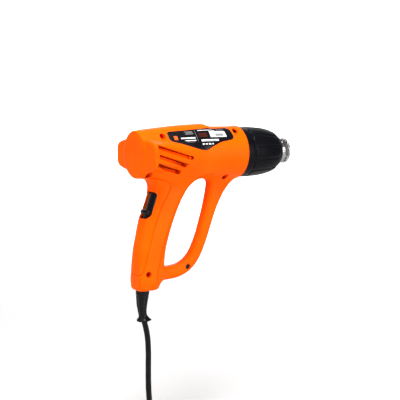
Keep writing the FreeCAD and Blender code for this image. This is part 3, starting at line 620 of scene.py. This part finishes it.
# ---------------------------------------------------------------- collar and outlet tube
COLLAR = [(125.0, 33.7), (134.0, 33.6), (142.0, 33.5), (158.0, 32.7), (171.0, 30.9), (181.0, 28.2),
          (187.0, 25.3), (190.4, 22.4), (191.8, 19.0)]
COLLAR_INSIDE = [(191.8, 17.6), (187.5, 17.6), (177.0, 25.0), (166.0, 27.8), (150.0, 29.6), (117.2, 29.6),
                 (117.2, 31.3), (124.9, 31.3)]
COLLAR_RIBS = 12
RIB_HEIGHT = 0.9
RIB_REACH = (137.0, 183.0)
RIB_FILL = 0.84                 # share of the pitch that a rib covers
RIB_MEAN_RADIUS = 32.0
BASE_RING_X = (133.5, 136.0)    # where the plain ring at the base steps down to the ribs' ground
NOZZLE_WINDOWS = 10
WINDOW_X = (199.4, 205.0)
WINDOW_HALF_WIDTH = 4.3
FIRST_WINDOW = math.radians(115.0)
# (x, radius) along the outside of the outlet tube, beads and shallow band, up to its rolled rim
NOZZLE = [(178.0, 17.1), (196.0, 17.1), (196.6, 17.4), (197.2, 17.5), (198.7, 17.5), (199.1, 17.25),
          (199.4, 17.2), (200.8, 17.2), (202.2, 17.2), (203.6, 17.2), (205.0, 17.2), (205.3, 17.25),
          (205.7, 17.5)]
NOZZLE_RADIUS = 17.5
BAND_RADIUS = 17.2
NOZZLE_INSIDE = 16.7
RIM_RADIUS = 0.45


def grid_faces(rows, columns):
    """Quads of a grid of points that closes on itself both ways."""
    faces = []
    for row in range(rows):
        following = (row + 1) % rows
        for column in range(columns):
            beside = (column + 1) % columns
            faces.append((row * columns + column, following * columns + column,
                          following * columns + beside, row * columns + beside))
    return faces


def turned_piece(name, profile, columns, offset=None):
    """Lathe mesh about the barrel axis from a closed (x, radius) outline; offset adds to the radius."""
    rows = np.array(profile, float)
    angles = np.arange(columns) * 2 * math.pi / columns
    x = np.repeat(rows[:, 0][:, None], columns, axis=1)
    radius = np.repeat(rows[:, 1][:, None], columns, axis=1)
    if offset is not None:
        radius = radius + offset(x, radius, angles[None, :])
    y = radius * np.cos(angles)
    z = AXIS_Z + radius * np.sin(angles)
    points = np.stack([x, y, z], axis=-1).reshape(-1, 3)
    mesh = bpy.data.meshes.new(name)
    mesh.from_pydata(points.tolist(), [], grid_faces(len(rows), columns))
    face_outwards(mesh)
    return mesh


def collar_ribs(x, radius, angle):
    """Raised panels with rounded ends along the collar."""
    pitch = 2 * math.pi / COLLAR_RIBS
    from_middle = np.abs((angle / pitch + 0.5) % 1.0 - 0.5) * pitch * RIB_MEAN_RADIUS
    half_width = pitch * RIB_MEAN_RADIUS * RIB_FILL / 2
    middle = sum(RIB_REACH) / 2
    half_length = (RIB_REACH[1] - RIB_REACH[0]) / 2
    edge = rounded_box(np.abs(x - middle) - half_length, from_middle - half_width, 5.0)
    outer = radius > np.interp(x, [row[0] for row in COLLAR], [row[1] for row in COLLAR]) - 0.5
    return outer * RIB_HEIGHT * ramp(-edge, -0.5, 0.9)


def make_collar():
    curve = smooth_line(COLLAR, 12)
    outer = [(x, r - RIB_HEIGHT * ramp(x, *BASE_RING_X)) for x, r in curve]
    outer[0] = (outer[0][0], outer[0][1] - 0.4)
    mesh = turned_piece("front_collar_ribbed", outer + COLLAR_INSIDE, 480,
                        lambda x, r, a: collar_ribs(x, r + RIB_HEIGHT, a))
    collar = mesh_object("front_collar_ribbed", mesh)
    collar.data.set_sharp_from_angle(angle=math.radians(50))
    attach(collar, "gun")
    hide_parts("front_collar")
    return collar


def make_nozzle():
    """Thin steel tube, rolled at the rim, with windows in a shallow band."""
    per_window = 16
    columns = NOZZLE_WINDOWS * per_window
    pitch = 2 * math.pi / NOZZLE_WINDOWS
    edge = WINDOW_HALF_WIDTH / BAND_RADIUS
    turns = []
    for window in range(NOZZLE_WINDOWS):
        middle = FIRST_WINDOW + window * pitch
        inside = np.linspace(-edge, edge, per_window - 2)
        bar = np.linspace(edge, pitch - edge, 4)[1:-1]
        turns.extend(middle + np.concatenate([inside, bar]))
    rim_x = NOZZLE_END_X - RIM_RADIUS
    rim_middle = NOZZLE_RADIUS - RIM_RADIUS
    rim = []
    for step in range(1, 8):
        roll = math.pi * (0.5 - step / 8.0)
        rim.append((rim_x + RIM_RADIUS * math.cos(roll), rim_middle + RIM_RADIUS * math.sin(roll)))
    outer = NOZZLE + [(rim_x, NOZZLE_RADIUS)]
    inner = [(x, NOZZLE_INSIDE) for x, _ in outer[:-1]] + [(rim_x, rim_middle - RIM_RADIUS)]
    rows = outer + rim + inner[::-1]
    points = [(x, radius * math.cos(turn), AXIS_Z + radius * math.sin(turn))
              for x, radius in rows for turn in turns]

    def cell_open(row, column):
        low, high = rows[row][0], rows[row + 1][0]
        in_band = min(low, high) > WINDOW_X[0] - 0.01 and max(low, high) < WINDOW_X[1] + 0.01
        return in_band and column % per_window < per_window - 3

    count = len(rows)
    faces = []
    for index, face in enumerate(grid_faces(count, columns)):
        row, column = divmod(index, columns)
        if row == count - 1 or not cell_open(row, column):
            faces.append(face)
    open_rows = [row for row in range(len(outer) - 1) if cell_open(row, 0)]
    for window in range(NOZZLE_WINDOWS):
        first = window * per_window
        last = first + per_window - 3
        ring = [(row, first) for row in range(open_rows[0], open_rows[-1] + 2)]
        ring += [(open_rows[-1] + 1, column) for column in range(first + 1, last + 1)]
        ring += [(row, last) for row in range(open_rows[-1], open_rows[0] - 1, -1)]
        ring += [(open_rows[0], column) for column in range(last - 1, first, -1)]
        for (row, column), (next_row, next_column) in zip(ring, ring[1:] + ring[:1]):
            across, next_across = count - 1 - row, count - 1 - next_row
            faces.append((row * columns + column, next_row * columns + next_column,
                          next_across * columns + next_column, across * columns + column))
    mesh = bpy.data.meshes.new("nozzle_tube_end")
    mesh.from_pydata(points, [], faces)
    face_outwards(mesh)
    tube = mesh_object("nozzle_tube_end", mesh)
    tube.data.set_sharp_from_angle(angle=math.radians(45))
    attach(tube, "gun")
    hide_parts("nozzle_tube")
    return tube


# ---------------------------------------------------------------- slide switch
SLIDER_BEND = 20.0                  # radius of the bend of the grip's back
PLATE_RADII = (14.1, 16.1)
PLATE_HALF_WIDTH = 12.4
PLATE_REACH = (-19.0, 31.0)         # along the slide
RIDGE_RADII = (15.7, 21.6)
RIDGE_HALF_WIDTH = 11.8
RIDGE_PLACE = -0.5
RIDGE_HALF_HEIGHT = 2.9
NOTCH_PITCH = 1.7


def slider_field(x, y, z):
    """Bent black plate with a thumb ridge across its lower end."""
    along, out = slide_places(x, z)
    radius = np.hypot(out + SLIDER_BEND, y)
    plate = blend_max(radius - PLATE_RADII[1], PLATE_RADII[0] - radius, 0.5)
    plate = blend_max(plate, np.abs(y) - PLATE_HALF_WIDTH, 0.8)
    plate = np.maximum(plate, np.maximum(along - PLATE_REACH[1], PLATE_REACH[0] - along))
    ridge = blend_max(radius - RIDGE_RADII[1], RIDGE_RADII[0] - radius, 0.8)
    ridge = blend_max(ridge, np.abs(y) - RIDGE_HALF_WIDTH, 3.0)
    ridge = blend_max(ridge, np.abs(along - RIDGE_PLACE) - RIDGE_HALF_HEIGHT, 2.6)
    notches = from_nearest(along - RIDGE_PLACE, NOTCH_PITCH)
    ridge = ridge + 0.25 * np.exp(-(notches / 0.3) ** 2) * (radius > 19.5)
    return np.maximum(blend_min(plate, ridge, 1.2), -out - 14.0)


def make_slider():
    slider = moulded_in("switch_slider", "switch_slider_moulded", slider_field, 0.4)
    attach(slider, "switch")
    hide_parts("switch_slider")
    return slider


# ---------------------------------------------------------------- strain relief
BOOT_LEAN = (math.radians(-4.0), math.radians(16.0))
BOOT_STRAIGHT = 12.0
BOOT_LENGTH = 40.0
BOOT_RADII = [(-6.0, 6.2), (-1.9, 6.2), (-1.4, 8.6), (3.0, 8.5), (6.0, 8.2), (12.0, 7.5), (18.0, 6.7),
              (24.0, 5.9), (29.0, 5.4), (31.5, 5.5), (33.6, 6.2), (35.4, 7.6), (36.6, 8.8), (37.4, 9.3),
              (38.0, 9.1)]


def boot_station(distance):
    """Point on the boot's middle line and its direction, this far below the foot of the grip."""
    point = np.array(BOOT_TOP)
    steps = max(1, int(math.ceil(abs(distance))))
    for index in range(steps):
        bent = max((index + 0.5) * distance / steps - BOOT_STRAIGHT, 0.0) / (BOOT_LENGTH - BOOT_STRAIGHT)
        lean = BOOT_LEAN[0] + (BOOT_LEAN[1] - BOOT_LEAN[0]) * min(bent, 1.0)
        along = np.array((math.sin(lean), 0.0, -math.cos(lean)))
        point = point + along * distance / steps
    return point, along


def make_boot():
    """Tapered sleeve with long flutes, pleated where it flares at the end."""
    columns = 96
    curve = smooth_line(BOOT_RADII, 4)
    rings = [(s, r, 1.0) for s, r in curve]
    rings += [(s, r, 0.0) for s, r in ((37.6, 7.4), (35.5, 4.6), (30.0, 3.75), (-6.0, 3.75))]
    points = []
    for distance, radius, outside in rings:
        middle, along = boot_station(distance)
        side = np.array((0.0, 1.0, 0.0))
        front = np.cross(side, along)
        for column in range(columns):
            angle = 2 * math.pi * column / columns
            along_body = ramp(distance, 3.0, 8.0) * (1 - ramp(distance, 28.0, 33.0))
            flute = -0.9 * along_body * max(0.0, math.cos(4 * angle + 0.5)) ** 2
            pleat = 0.55 * ramp(distance, 31.0, 36.0) * math.cos(5 * angle + 0.6)
            r = radius + outside * (flute + pleat)
            slip = outside * ramp(distance, 32.0, 37.0) * 2.2 * math.cos(angle)
            points.append(middle + r * (math.cos(angle) * front + math.sin(angle) * side) - along * slip)
    mesh = bpy.data.meshes.new("strain_relief_boot")
    mesh.from_pydata([tuple(p) for p in points], [], grid_faces(len(rings), columns))
    face_outwards(mesh)
    boot = mesh_object("strain_relief_boot", mesh)
    boot.data.set_sharp_from_angle(angle=math.radians(60))
    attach(boot, "gun")
    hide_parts("strain_relief")
    return boot


# ---------------------------------------------------------------- plug and tie
PLUG_START = (-7.3, 3.8, -259.5)
# (distance along the plug, half width, half height)
PLUG_SHAPE = [(0.0, 5.4, 5.4), (10.0, 6.2, 5.8), (17.0, 7.4, 6.2), (24.0, 11.6, 7.6), (31.0, 15.6, 8.3),
              (38.0, 16.8, 8.4), (50.0, 16.9, 8.4)]


def plug_field(x, y, z):
    along, side, rise = x - PLUG_START[0], y - PLUG_START[1], z - PLUG_START[2]
    half_width, half_height = line_at(along, PLUG_SHAPE)
    section = rounded_box(np.abs(side) - half_width, np.abs(rise) - half_height, 5.2)
    on_neck = ramp(along, 2.0, 3.0) * (1 - ramp(along, 17.0, 18.0))
    section = section + 0.6 * np.exp(-(from_nearest(along, 3.0) / 0.7) ** 2) * on_neck
    on_side = ramp(np.abs(side), 11.0, 13.0) * ramp(along, 35.0, 36.0) * (1 - ramp(along, 45.0, 46.0))
    section = section + 0.4 * np.exp(-(from_nearest(along, 2.4) / 0.5) ** 2) * on_side
    return blend_max(blend_max(section, -along, 1.5), along - 50.0, 2.0)


def make_plug():
    plug = moulded_in("plug_body", "plug_moulded", plug_field, 0.6)
    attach(plug, "gun")
    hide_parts("plug_body")
    return plug


def tie_field(x, y, z):
    turn = math.radians(215.0)
    dx, dy = x - COIL_CENTRE[0], y - COIL_CENTRE[1]
    along = dx * math.cos(turn) + dy * math.sin(turn)
    across = -dx * math.sin(turn) + dy * math.cos(turn)
    low, high = node_box("coil_tie")
    middle_along = (TURN_RADII[0] + TURN_RADII[-1]) / 2 - 0.2
    half_along = (TURN_RADII[-1] - TURN_RADII[0]) / 2 + CORD_RADIUS + 1.55
    middle_z = (low[2] + high[2]) / 2
    half_z = (high[2] - low[2]) / 2
    outer = rounded_box(np.abs(along - middle_along) - half_along, np.abs(z - middle_z) - half_z, 3.4)
    strap = np.maximum(outer, -outer - 1.1)
    return blend_max(strap, np.abs(across) - 4.4, 0.6)


def make_tie():
    tie = moulded_in("coil_tie", "coil_tie_strap", tie_field, 0.4)
    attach(tie, "gun")
    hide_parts("coil_tie")
    return tie


# ---------------------------------------------------------------- side labels
# Outline of the decal: (x, degrees round the barrel from level, towards the top).
LABEL = [
    (9.2, 40.9), (9.1, 53.5), (11.2, 58.3), (15.0, 60.0), (33.4, 60.4), (59.4, 62.8), (72.7, 64.3),
    (95.2, 67.0), (101.6, 66.0), (104.2, 59.5), (104.8, 46.0), (104.3, 37.5), (101.0, 32.2), (94.7, 29.8),
    (83.9, 26.9), (75.9, 21.7), (68.1, 16.0), (62.8, 11.3), (58.7, 9.6), (54.8, 9.8), (49.4, 11.4),
    (29.1, 19.8), (14.7, 27.2), (10.4, 33.0)]
LABEL_UNROLL = 33.0             # radius at which the decal's outline is laid flat
LABEL_LIFT = 0.12


def make_label(name, side):
    outline = np.array(LABEL)
    closed = smooth_line(np.vstack([outline, outline[:1]]), 4)[:-1]
    flat = [Vector((x, math.radians(a) * LABEL_UNROLL)) for x, a in closed]
    spacing = 1.2
    edge = [(a, (a + 1) % len(flat)) for a in range(len(flat))]
    inside = []
    us = np.arange(9.0, 108.0, spacing)
    vs = np.arange(3.0, 46.0, spacing)
    corners = np.array([tuple(p) for p in flat])
    for u in us:
        for v in vs:
            nearest = np.min(np.hypot(corners[:, 0] - u, corners[:, 1] - v))
            if nearest > 0.6 * spacing:
                inside.append(Vector((u, v)))
    points, _, faces, _, _, _ = delaunay_2d_cdt(flat + inside, edge, [list(range(len(flat)))], 1, 1e-4)
    u = np.array([p.x for p in points])
    angle = np.array([p.y for p in points]) / LABEL_UNROLL
    radius = np.full(len(u), 34.0)
    for _ in range(12):
        y = side * radius * np.cos(angle)
        z = AXIS_Z + radius * np.sin(angle)
        radius = radius - gun_field(u, y, z)
    radius = radius + LABEL_LIFT
    top = np.stack([u, side * radius * np.cos(angle), AXIS_Z + radius * np.sin(angle)], axis=1)
    mesh = bpy.data.meshes.new(name + "_film")
    mesh.from_pydata(top.tolist(), [], [tuple(f) for f in faces])
    layer = mesh.uv_layers.new(name="film")
    for loop in mesh.loops:
        p = points[loop.vertex_index]
        layer.data[loop.index].uv = ((p.x - 10.0) / 100.0, p.y / 100.0)
    film = mesh_object(name + "_film", mesh)
    bm = bmesh.new()
    bm.from_mesh(film.data)
    bmesh.ops.recalc_face_normals(bm, faces=bm.faces)
    bm.faces.ensure_lookup_table()
    middle = bm.faces[len(bm.faces) // 2]
    if middle.normal.y * side < 0:
        bmesh.ops.reverse_faces(bm, faces=bm.faces)
    bm.to_mesh(film.data)
    bm.free()
    thick = film.modifiers.new("thickness", "SOLIDIFY")
    thick.thickness = 0.25 * MM
    thick.offset = -0.5
    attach(film, "gun")
    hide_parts(name)
    return film


# ---------------------------------------------------------------- materials
class Paint:
    """Small helper that adds nodes to one material."""

    def __init__(self, name, roughness, metallic=0.0, specular=0.5, coat=0.0, coat_roughness=0.1):
        self.material = bpy.data.materials.new(name)
        self.material.use_nodes = True
        self.tree = self.material.node_tree
        self.shader = self.tree.nodes["Principled BSDF"]
        self.shader.inputs["Roughness"].default_value = roughness
        self.shader.inputs["Metallic"].default_value = metallic
        self.shader.inputs["Specular IOR Level"].default_value = specular
        self.shader.inputs["Coat Weight"].default_value = coat
        self.shader.inputs["Coat Roughness"].default_value = coat_roughness
        self.place = self.add("ShaderNodeTexCoord").outputs["Object"]

    def add(self, kind, **settings):
        node = self.tree.nodes.new(kind)
        for key, value in settings.items():
            setattr(node, key, value)
        return node

    def join(self, source, target):
        self.tree.links.new(source, target)

    def noise(self, scale, detail=3.0, stretch=(1.0, 1.0, 1.0)):
        mapping = self.add("ShaderNodeMapping")
        mapping.inputs["Scale"].default_value = stretch
        self.join(self.place, mapping.inputs["Vector"])
        texture = self.add("ShaderNodeTexNoise")
        texture.inputs["Scale"].default_value = scale
        texture.inputs["Detail"].default_value = detail
        self.join(mapping.outputs["Vector"], texture.inputs["Vector"])
        return texture.outputs["Fac"]

    def math(self, kind, *values):
        node = self.add("ShaderNodeMath", operation=kind)
        for slot, value in zip(node.inputs, values):
            if isinstance(value, (int, float)):
                slot.default_value = value
            else:
                self.join(value, slot)
        return node.outputs[0]

    def blend(self, factor, dark, light):
        node = self.add("ShaderNodeMix", data_type="RGBA")
        self.join(factor, node.inputs["Factor"])
        for slot, colour in ((node.inputs[6], dark), (node.inputs[7], light)):
            if isinstance(colour, tuple):
                slot.default_value = (*colour, 1.0)
            else:
                self.join(colour, slot)
        return node.outputs[2]

    def span(self, value, low, high, to_low, to_high):
        node = self.add("ShaderNodeMapRange")
        self.join(value, node.inputs["Value"])
        for key, number in (("From Min", low), ("From Max", high), ("To Min", to_low), ("To Max", to_high)):
            node.inputs[key].default_value = number
        return node.outputs["Result"]

    def bump(self, height, distance, strength=1.0):
        node = self.add("ShaderNodeBump")
        node.inputs["Strength"].default_value = strength
        node.inputs["Distance"].default_value = distance
        self.join(height, node.inputs["Height"])
        self.join(node.outputs["Normal"], self.shader.inputs["Normal"])

    def colour(self, source):
        self.join(source, self.shader.inputs["Base Color"])

    def roughness(self, source):
        self.join(source, self.shader.inputs["Roughness"])


def plastic(name, dark, light, roughness, grain=900.0, depth=0.00004, specular=0.45):
    """Moulded plastic: slow colour drift, fine spark-eroded grain, roughness that wanders a little."""
    paint = Paint(name, roughness, specular=specular)
    paint.colour(paint.blend(paint.span(paint.noise(26.0), 0.35, 0.65, 0.0, 1.0), dark, light))
    paint.roughness(paint.span(paint.noise(60.0, 4.0), 0.3, 0.7, roughness - 0.06, roughness + 0.07))
    paint.bump(paint.noise(grain, 2.0), depth)
    return paint.material


def streaked_metal(name, scale, stretch, smooth, rough):
    """Metal with fine marks drawn out along one direction. Gives the paint, its marks and its X, Y and Z."""
    paint = Paint(name, smooth, metallic=1.0)
    lines = paint.noise(scale, 4.0, stretch)
    paint.roughness(paint.span(lines, 0.3, 0.7, smooth, rough))
    paint.bump(lines, 0.00002)
    split = paint.add("ShaderNodeSeparateXYZ")
    paint.join(paint.place, split.inputs[0])
    return paint, lines, split.outputs


def metal(name, dark, light, roughness, stretch):
    paint, lines, _ = streaked_metal(name, 300.0, stretch, roughness * 0.8, roughness * 1.3)
    paint.colour(paint.blend(lines, dark, light))
    return paint.material


def rubber(name, dark, light, roughness, specular=0.12):
    paint = Paint(name, roughness, specular=specular)
    paint.colour(paint.blend(paint.span(paint.noise(90.0), 0.35, 0.65, 0.0, 1.0), dark, light))
    paint.roughness(paint.span(paint.noise(220.0, 4.0), 0.3, 0.7, roughness - 0.08, roughness + 0.1))
    paint.bump(paint.noise(1500.0, 2.0), 0.00003)
    return paint.material


def heat_tint_and_shade_steel(name):
    """Outlet tube, straw-tinted towards the rim by heat, with painted shade on its inside: the inside is coloured
    near black.
    """
    paint, lines, place = streaked_metal(name, 500.0, (0.15, 1.0, 1.0), 0.10, 0.24)
    heat = paint.span(place["X"], 0.199, 0.207, 0.0, 0.5)
    clean = paint.blend(lines, (0.20, 0.20, 0.205), (0.36, 0.36, 0.37))
    clean = paint.blend(heat, clean, (0.24, 0.21, 0.18))
    # Painted shade: the tube's inside is coloured near black, standing in for the shade inside the tube seen
    # through the windows.
    rise = paint.math("SUBTRACT", place["Z"], float(AXIS_Z * MM))
    square = paint.math("ADD", paint.math("MULTIPLY", rise, rise),
                        paint.math("MULTIPLY", place["Y"], place["Y"]))
    inside = paint.math("LESS_THAN", paint.math("SQRT", square), (NOZZLE_INSIDE + 0.25) * MM)
    paint.colour(paint.blend(inside, clean, (0.035, 0.031, 0.030)))
    return paint.material


def brushed_plate(name):
    """Steel plate, bright behind and browned by the heat in front."""
    paint, lines, place = streaked_metal(name, 300.0, (0.1, 1.0, 1.0), 0.24, 0.39)
    browned = paint.span(place["X"], 0.104, 0.110, 0.0, 1.0)
    clean = paint.blend(lines, (0.16, 0.16, 0.165), (0.30, 0.30, 0.31))
    paint.colour(paint.blend(browned, clean, (0.060, 0.042, 0.032)))
    return paint.material


def film(name):
    """Black decal with plain white, grey, red and orange bars in place of any text."""
    paint = Paint(name, 0.22, specular=0.14)
    split = paint.add("ShaderNodeSeparateXYZ")
    uv = paint.add("ShaderNodeTexCoord").outputs["UV"]
    paint.join(uv, split.inputs[0])
    along, up = split.outputs["X"], split.outputs["Y"]

    def bar(u, v, half_u, half_v):
        across = paint.math("LESS_THAN", paint.math("ABSOLUTE", paint.math("SUBTRACT", along, u)), half_u)
        high = paint.math("LESS_THAN", paint.math("ABSOLUTE", paint.math("SUBTRACT", up, v)), half_v)
        return paint.math("MULTIPLY", across, high)

    def bars(places):
        total = None
        for place in places:
            one = bar(*place)
            total = one if total is None else paint.math("MAXIMUM", total, one)
        return total

    white = bars(LABEL_BARS["white"])
    grey = bars(LABEL_BARS["grey"])
    red = bars(LABEL_BARS["red"])
    base = paint.blend(paint.noise(200.0), (0.002, 0.002, 0.003), (0.004, 0.004, 0.0055))
    base = paint.blend(red, base, (0.060, 0.008, 0.004))
    base = paint.blend(bars(LABEL_BARS["orange"]), base, (0.75, 0.10, 0.02))
    base = paint.blend(white, base, (0.62, 0.62, 0.63))
    paint.colour(paint.blend(grey, base, (0.20, 0.20, 0.21)))
    paint.roughness(paint.span(paint.noise(150.0), 0.3, 0.7, 0.18, 0.30))
    return paint.material


# Bars on the decal: (along, up, half length, half height), each as a share of 100 mm.
LABEL_BARS = {
    "white": [(0.264, 0.226, 0.105, 0.010), (0.290, 0.190, 0.078, 0.006), (0.569, 0.334, 0.130, 0.005),
              (0.720, 0.273, 0.122, 0.046), (0.572, 0.184, 0.128, 0.013), (0.460, 0.134, 0.014, 0.010),
              (0.505, 0.134, 0.016, 0.008), (0.555, 0.134, 0.018, 0.010), (0.600, 0.134, 0.012, 0.008)],
    "grey": [(0.298, 0.320, 0.060, 0.004), (0.305, 0.303, 0.050, 0.004), (0.298, 0.286, 0.060, 0.004),
             (0.290, 0.170, 0.060, 0.003), (0.781, 0.342, 0.055, 0.006), (0.393, 0.256, 0.002, 0.080),
             (0.740, 0.262, 0.060, 0.022), (0.572, 0.180, 0.090, 0.004)],
    "red": [(0.492, 0.283, 0.062, 0.008), (0.492, 0.264, 0.062, 0.006), (0.492, 0.245, 0.062, 0.008)],
    "orange": [(0.090, 0.235, 0.026, 0.030)],
}


def assign(piece, material):
    piece.data.materials.clear()
    piece.data.materials.append(material)


def paint_cad_nodes(finishes):
    for material, nodes in finishes:
        for name in nodes:
            node = frame["nodes"][name]
            for slot in node.material_slots:
                slot.material = material
            if not node.material_slots:
                node.data.materials.append(material)


# ---------------------------------------------------------------- stage
def make_stage():
    floor_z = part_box("coil_tie")[0].z
    reach, front, back, bend = 3.0, -2.5, 2.6, 0.9
    profile = [(front, floor_z)]
    for index in range(13):
        turn = math.pi / 2 * index / 12
        profile.append((back + bend * math.sin(turn), floor_z + bend * (1 - math.cos(turn))))
    profile.append((back + bend, 3.2))
    points = [(x, y, z) for y, z in profile for x in (-reach, reach)]
    faces = [(2 * i, 2 * i + 1, 2 * i + 3, 2 * i + 2) for i in range(len(profile) - 1)]
    mesh = bpy.data.meshes.new("backdrop")
    mesh.from_pydata(points, [], faces)
    backdrop = mesh_object("backdrop", mesh, 1.0)
    backdrop.rotation_euler = (0.0, 0.0, -AZIMUTH)
    paint = Paint("backdrop_paper", 0.9, specular=0.1)
    paint.colour(paint.blend(paint.noise(3.0), (0.70, 0.70, 0.70), (0.73, 0.73, 0.73)))
    assign(backdrop, paint.material)
    backdrop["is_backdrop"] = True


def soft_light(name, place, aim, width, height, power):
    data = bpy.data.lights.new(name, "AREA")
    data.shape = "RECTANGLE"
    data.size = width
    data.size_y = height
    data.energy = power
    light = bpy.data.objects.new(name, data)
    light.location = place
    light.rotation_euler = (Vector(aim) - Vector(place)).to_track_quat("-Z", "Y").to_euler()
    bpy.context.scene.collection.objects.link(light)


def make_lights():
    world = bpy.data.worlds.new("studio")
    world.use_nodes = True
    background = world.node_tree.nodes["Background"]
    background.inputs["Color"].default_value = (1.0, 1.0, 1.0, 1.0)
    background.inputs["Strength"].default_value = 0.28
    bpy.context.scene.world = world
    soft_light("top_box", (-0.1, -0.35, 1.3), (0.05, 0.0, 0.05), 1.0, 0.8, 32.0)
    soft_light("left_box", (-1.3, -0.6, 0.5), (0.05, 0.0, 0.0), 0.7, 0.9, 11.0)
    soft_light("front_box", (0.7, -1.3, 0.3), (0.05, 0.0, 0.05), 0.5, 1.0, 14.0)
    soft_light("backdrop_box", (1.0, 1.6, 1.6), (1.9, 2.9, 0.4), 1.6, 1.0, 125.0)


# ---------------------------------------------------------------- build
bpy.context.scene.view_settings.view_transform = "Standard"

cord = make_cord()
ORANGE = plastic("orange_abs", (0.91, 0.091, 0.0004), (0.97, 0.106, 0.0006), 0.34, specular=0.02)
COLLAR_BLACK = plastic("collar_nylon", (0.0014, 0.0015, 0.0026), (0.0024, 0.0025, 0.0040), 0.36,
                       700.0, 0.00004, 0.06)
SWITCH_BLACK = plastic("switch_abs", (0.0020, 0.0022, 0.0030), (0.0032, 0.0034, 0.0044), 0.24,
                       600.0, 0.00001, 0.22)
INNER_BLACK = plastic("inner_black", (0.003, 0.003, 0.0036), (0.006, 0.006, 0.007), 0.5, specular=0.2)
RUBBER_BLACK = rubber("lead_rubber", (0.0026, 0.0026, 0.0032), (0.0045, 0.0045, 0.0055), 0.42)
BOOT_BLACK = rubber("boot_rubber", (0.0016, 0.0016, 0.0024), (0.0030, 0.0030, 0.0042), 0.27, 0.14)
STEEL = metal("zinc_steel", (0.42, 0.42, 0.43), (0.62, 0.62, 0.63), 0.32, (1.0, 0.2, 1.0))
DARK_STEEL = metal("phosphated_steel", (0.020, 0.017, 0.016), (0.040, 0.034, 0.032), 0.5, (1.0, 0.3, 1.0))
NOZZLE_STEEL = heat_tint_and_shade_steel("outlet_steel")
PLATE = brushed_plate("brushed_plate")
BRASS = metal("brass", (0.60, 0.42, 0.16), (0.80, 0.60, 0.28), 0.28, (1.0, 0.3, 1.0))
NICKEL = metal("nickel_pins", (0.62, 0.60, 0.56), (0.80, 0.78, 0.73), 0.16, (0.2, 1.0, 1.0))
WIRE = metal("oxidised_wire", (0.10, 0.09, 0.085), (0.22, 0.19, 0.17), 0.5, (1.0, 1.0, 1.0))
CERAMIC = plastic("ceramic", (0.62, 0.57, 0.48), (0.74, 0.70, 0.62), 0.75, 1200.0, 0.00006, 0.3)
MICA = plastic("mica", (0.050, 0.042, 0.036), (0.120, 0.100, 0.086), 0.4, 400.0, 0.00005)
FERRITE = plastic("ferrite", (0.03, 0.03, 0.032), (0.05, 0.05, 0.052), 0.6)
LAMINATE = plastic("board_laminate", (0.26, 0.15, 0.06), (0.34, 0.21, 0.09), 0.5)
YELLOW = plastic("capacitor_epoxy", (0.62, 0.40, 0.04), (0.72, 0.48, 0.06), 0.3)
WIRE_RED = plastic("wire_insulation", (0.22, 0.03, 0.015), (0.30, 0.05, 0.02), 0.45)
FILM = film("label_film")

for shell in make_housing():
    assign(shell, ORANGE)
assign(make_collar(), COLLAR_BLACK)
assign(make_nozzle(), NOZZLE_STEEL)
assign(make_slider(), SWITCH_BLACK)
assign(make_boot(), BOOT_BLACK)
plug = make_plug()
assign(plug, INNER_BLACK)
tie = make_tie()
assign(tie, INNER_BLACK)
assign(cord, RUBBER_BLACK)
for label_name, label_side in (("label_right", -1), ("label_left", 1)):
    assign(make_label(label_name, label_side), FILM)

paint_cad_nodes([
    (STEEL, ["clamp_screws", "motor_shaft", "motor_armature", "heat_shield", "thermal_fuse"]),
    (DARK_STEEL, ["motor_can", "housing_screws"]),
    (PLATE, ["top_plate"]),
    (MICA, ["mica_sleeve"]),
    (CERAMIC, ["heater_core", "outlet_disc", "inlet_disc"]),
    (WIRE, ["heating_coil"]),
    (BRASS, ["heater_terminals", "shaft_bushes"]),
    (FERRITE, ["motor_magnets"]),
    (INNER_BLACK, ["motor_end_cap", "fan_wheel", "air_guide", "switch_body", "rectifier_diodes",
                   "cord_clamp"]),
    (RUBBER_BLACK, ["guide_seals", "cord_jacket_end"]),
    (LAMINATE, ["rectifier_board"]),
    (YELLOW, ["suppression_capacitor"]),
    (WIRE_RED, ["internal_wiring"]),
    (NICKEL, ["plug_pins"]),
])

make_stage()
make_lights()

({"cad": [list(map(float, c)) for c in CAD_BOX],
           "visual": [list(map(float, c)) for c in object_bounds()]})
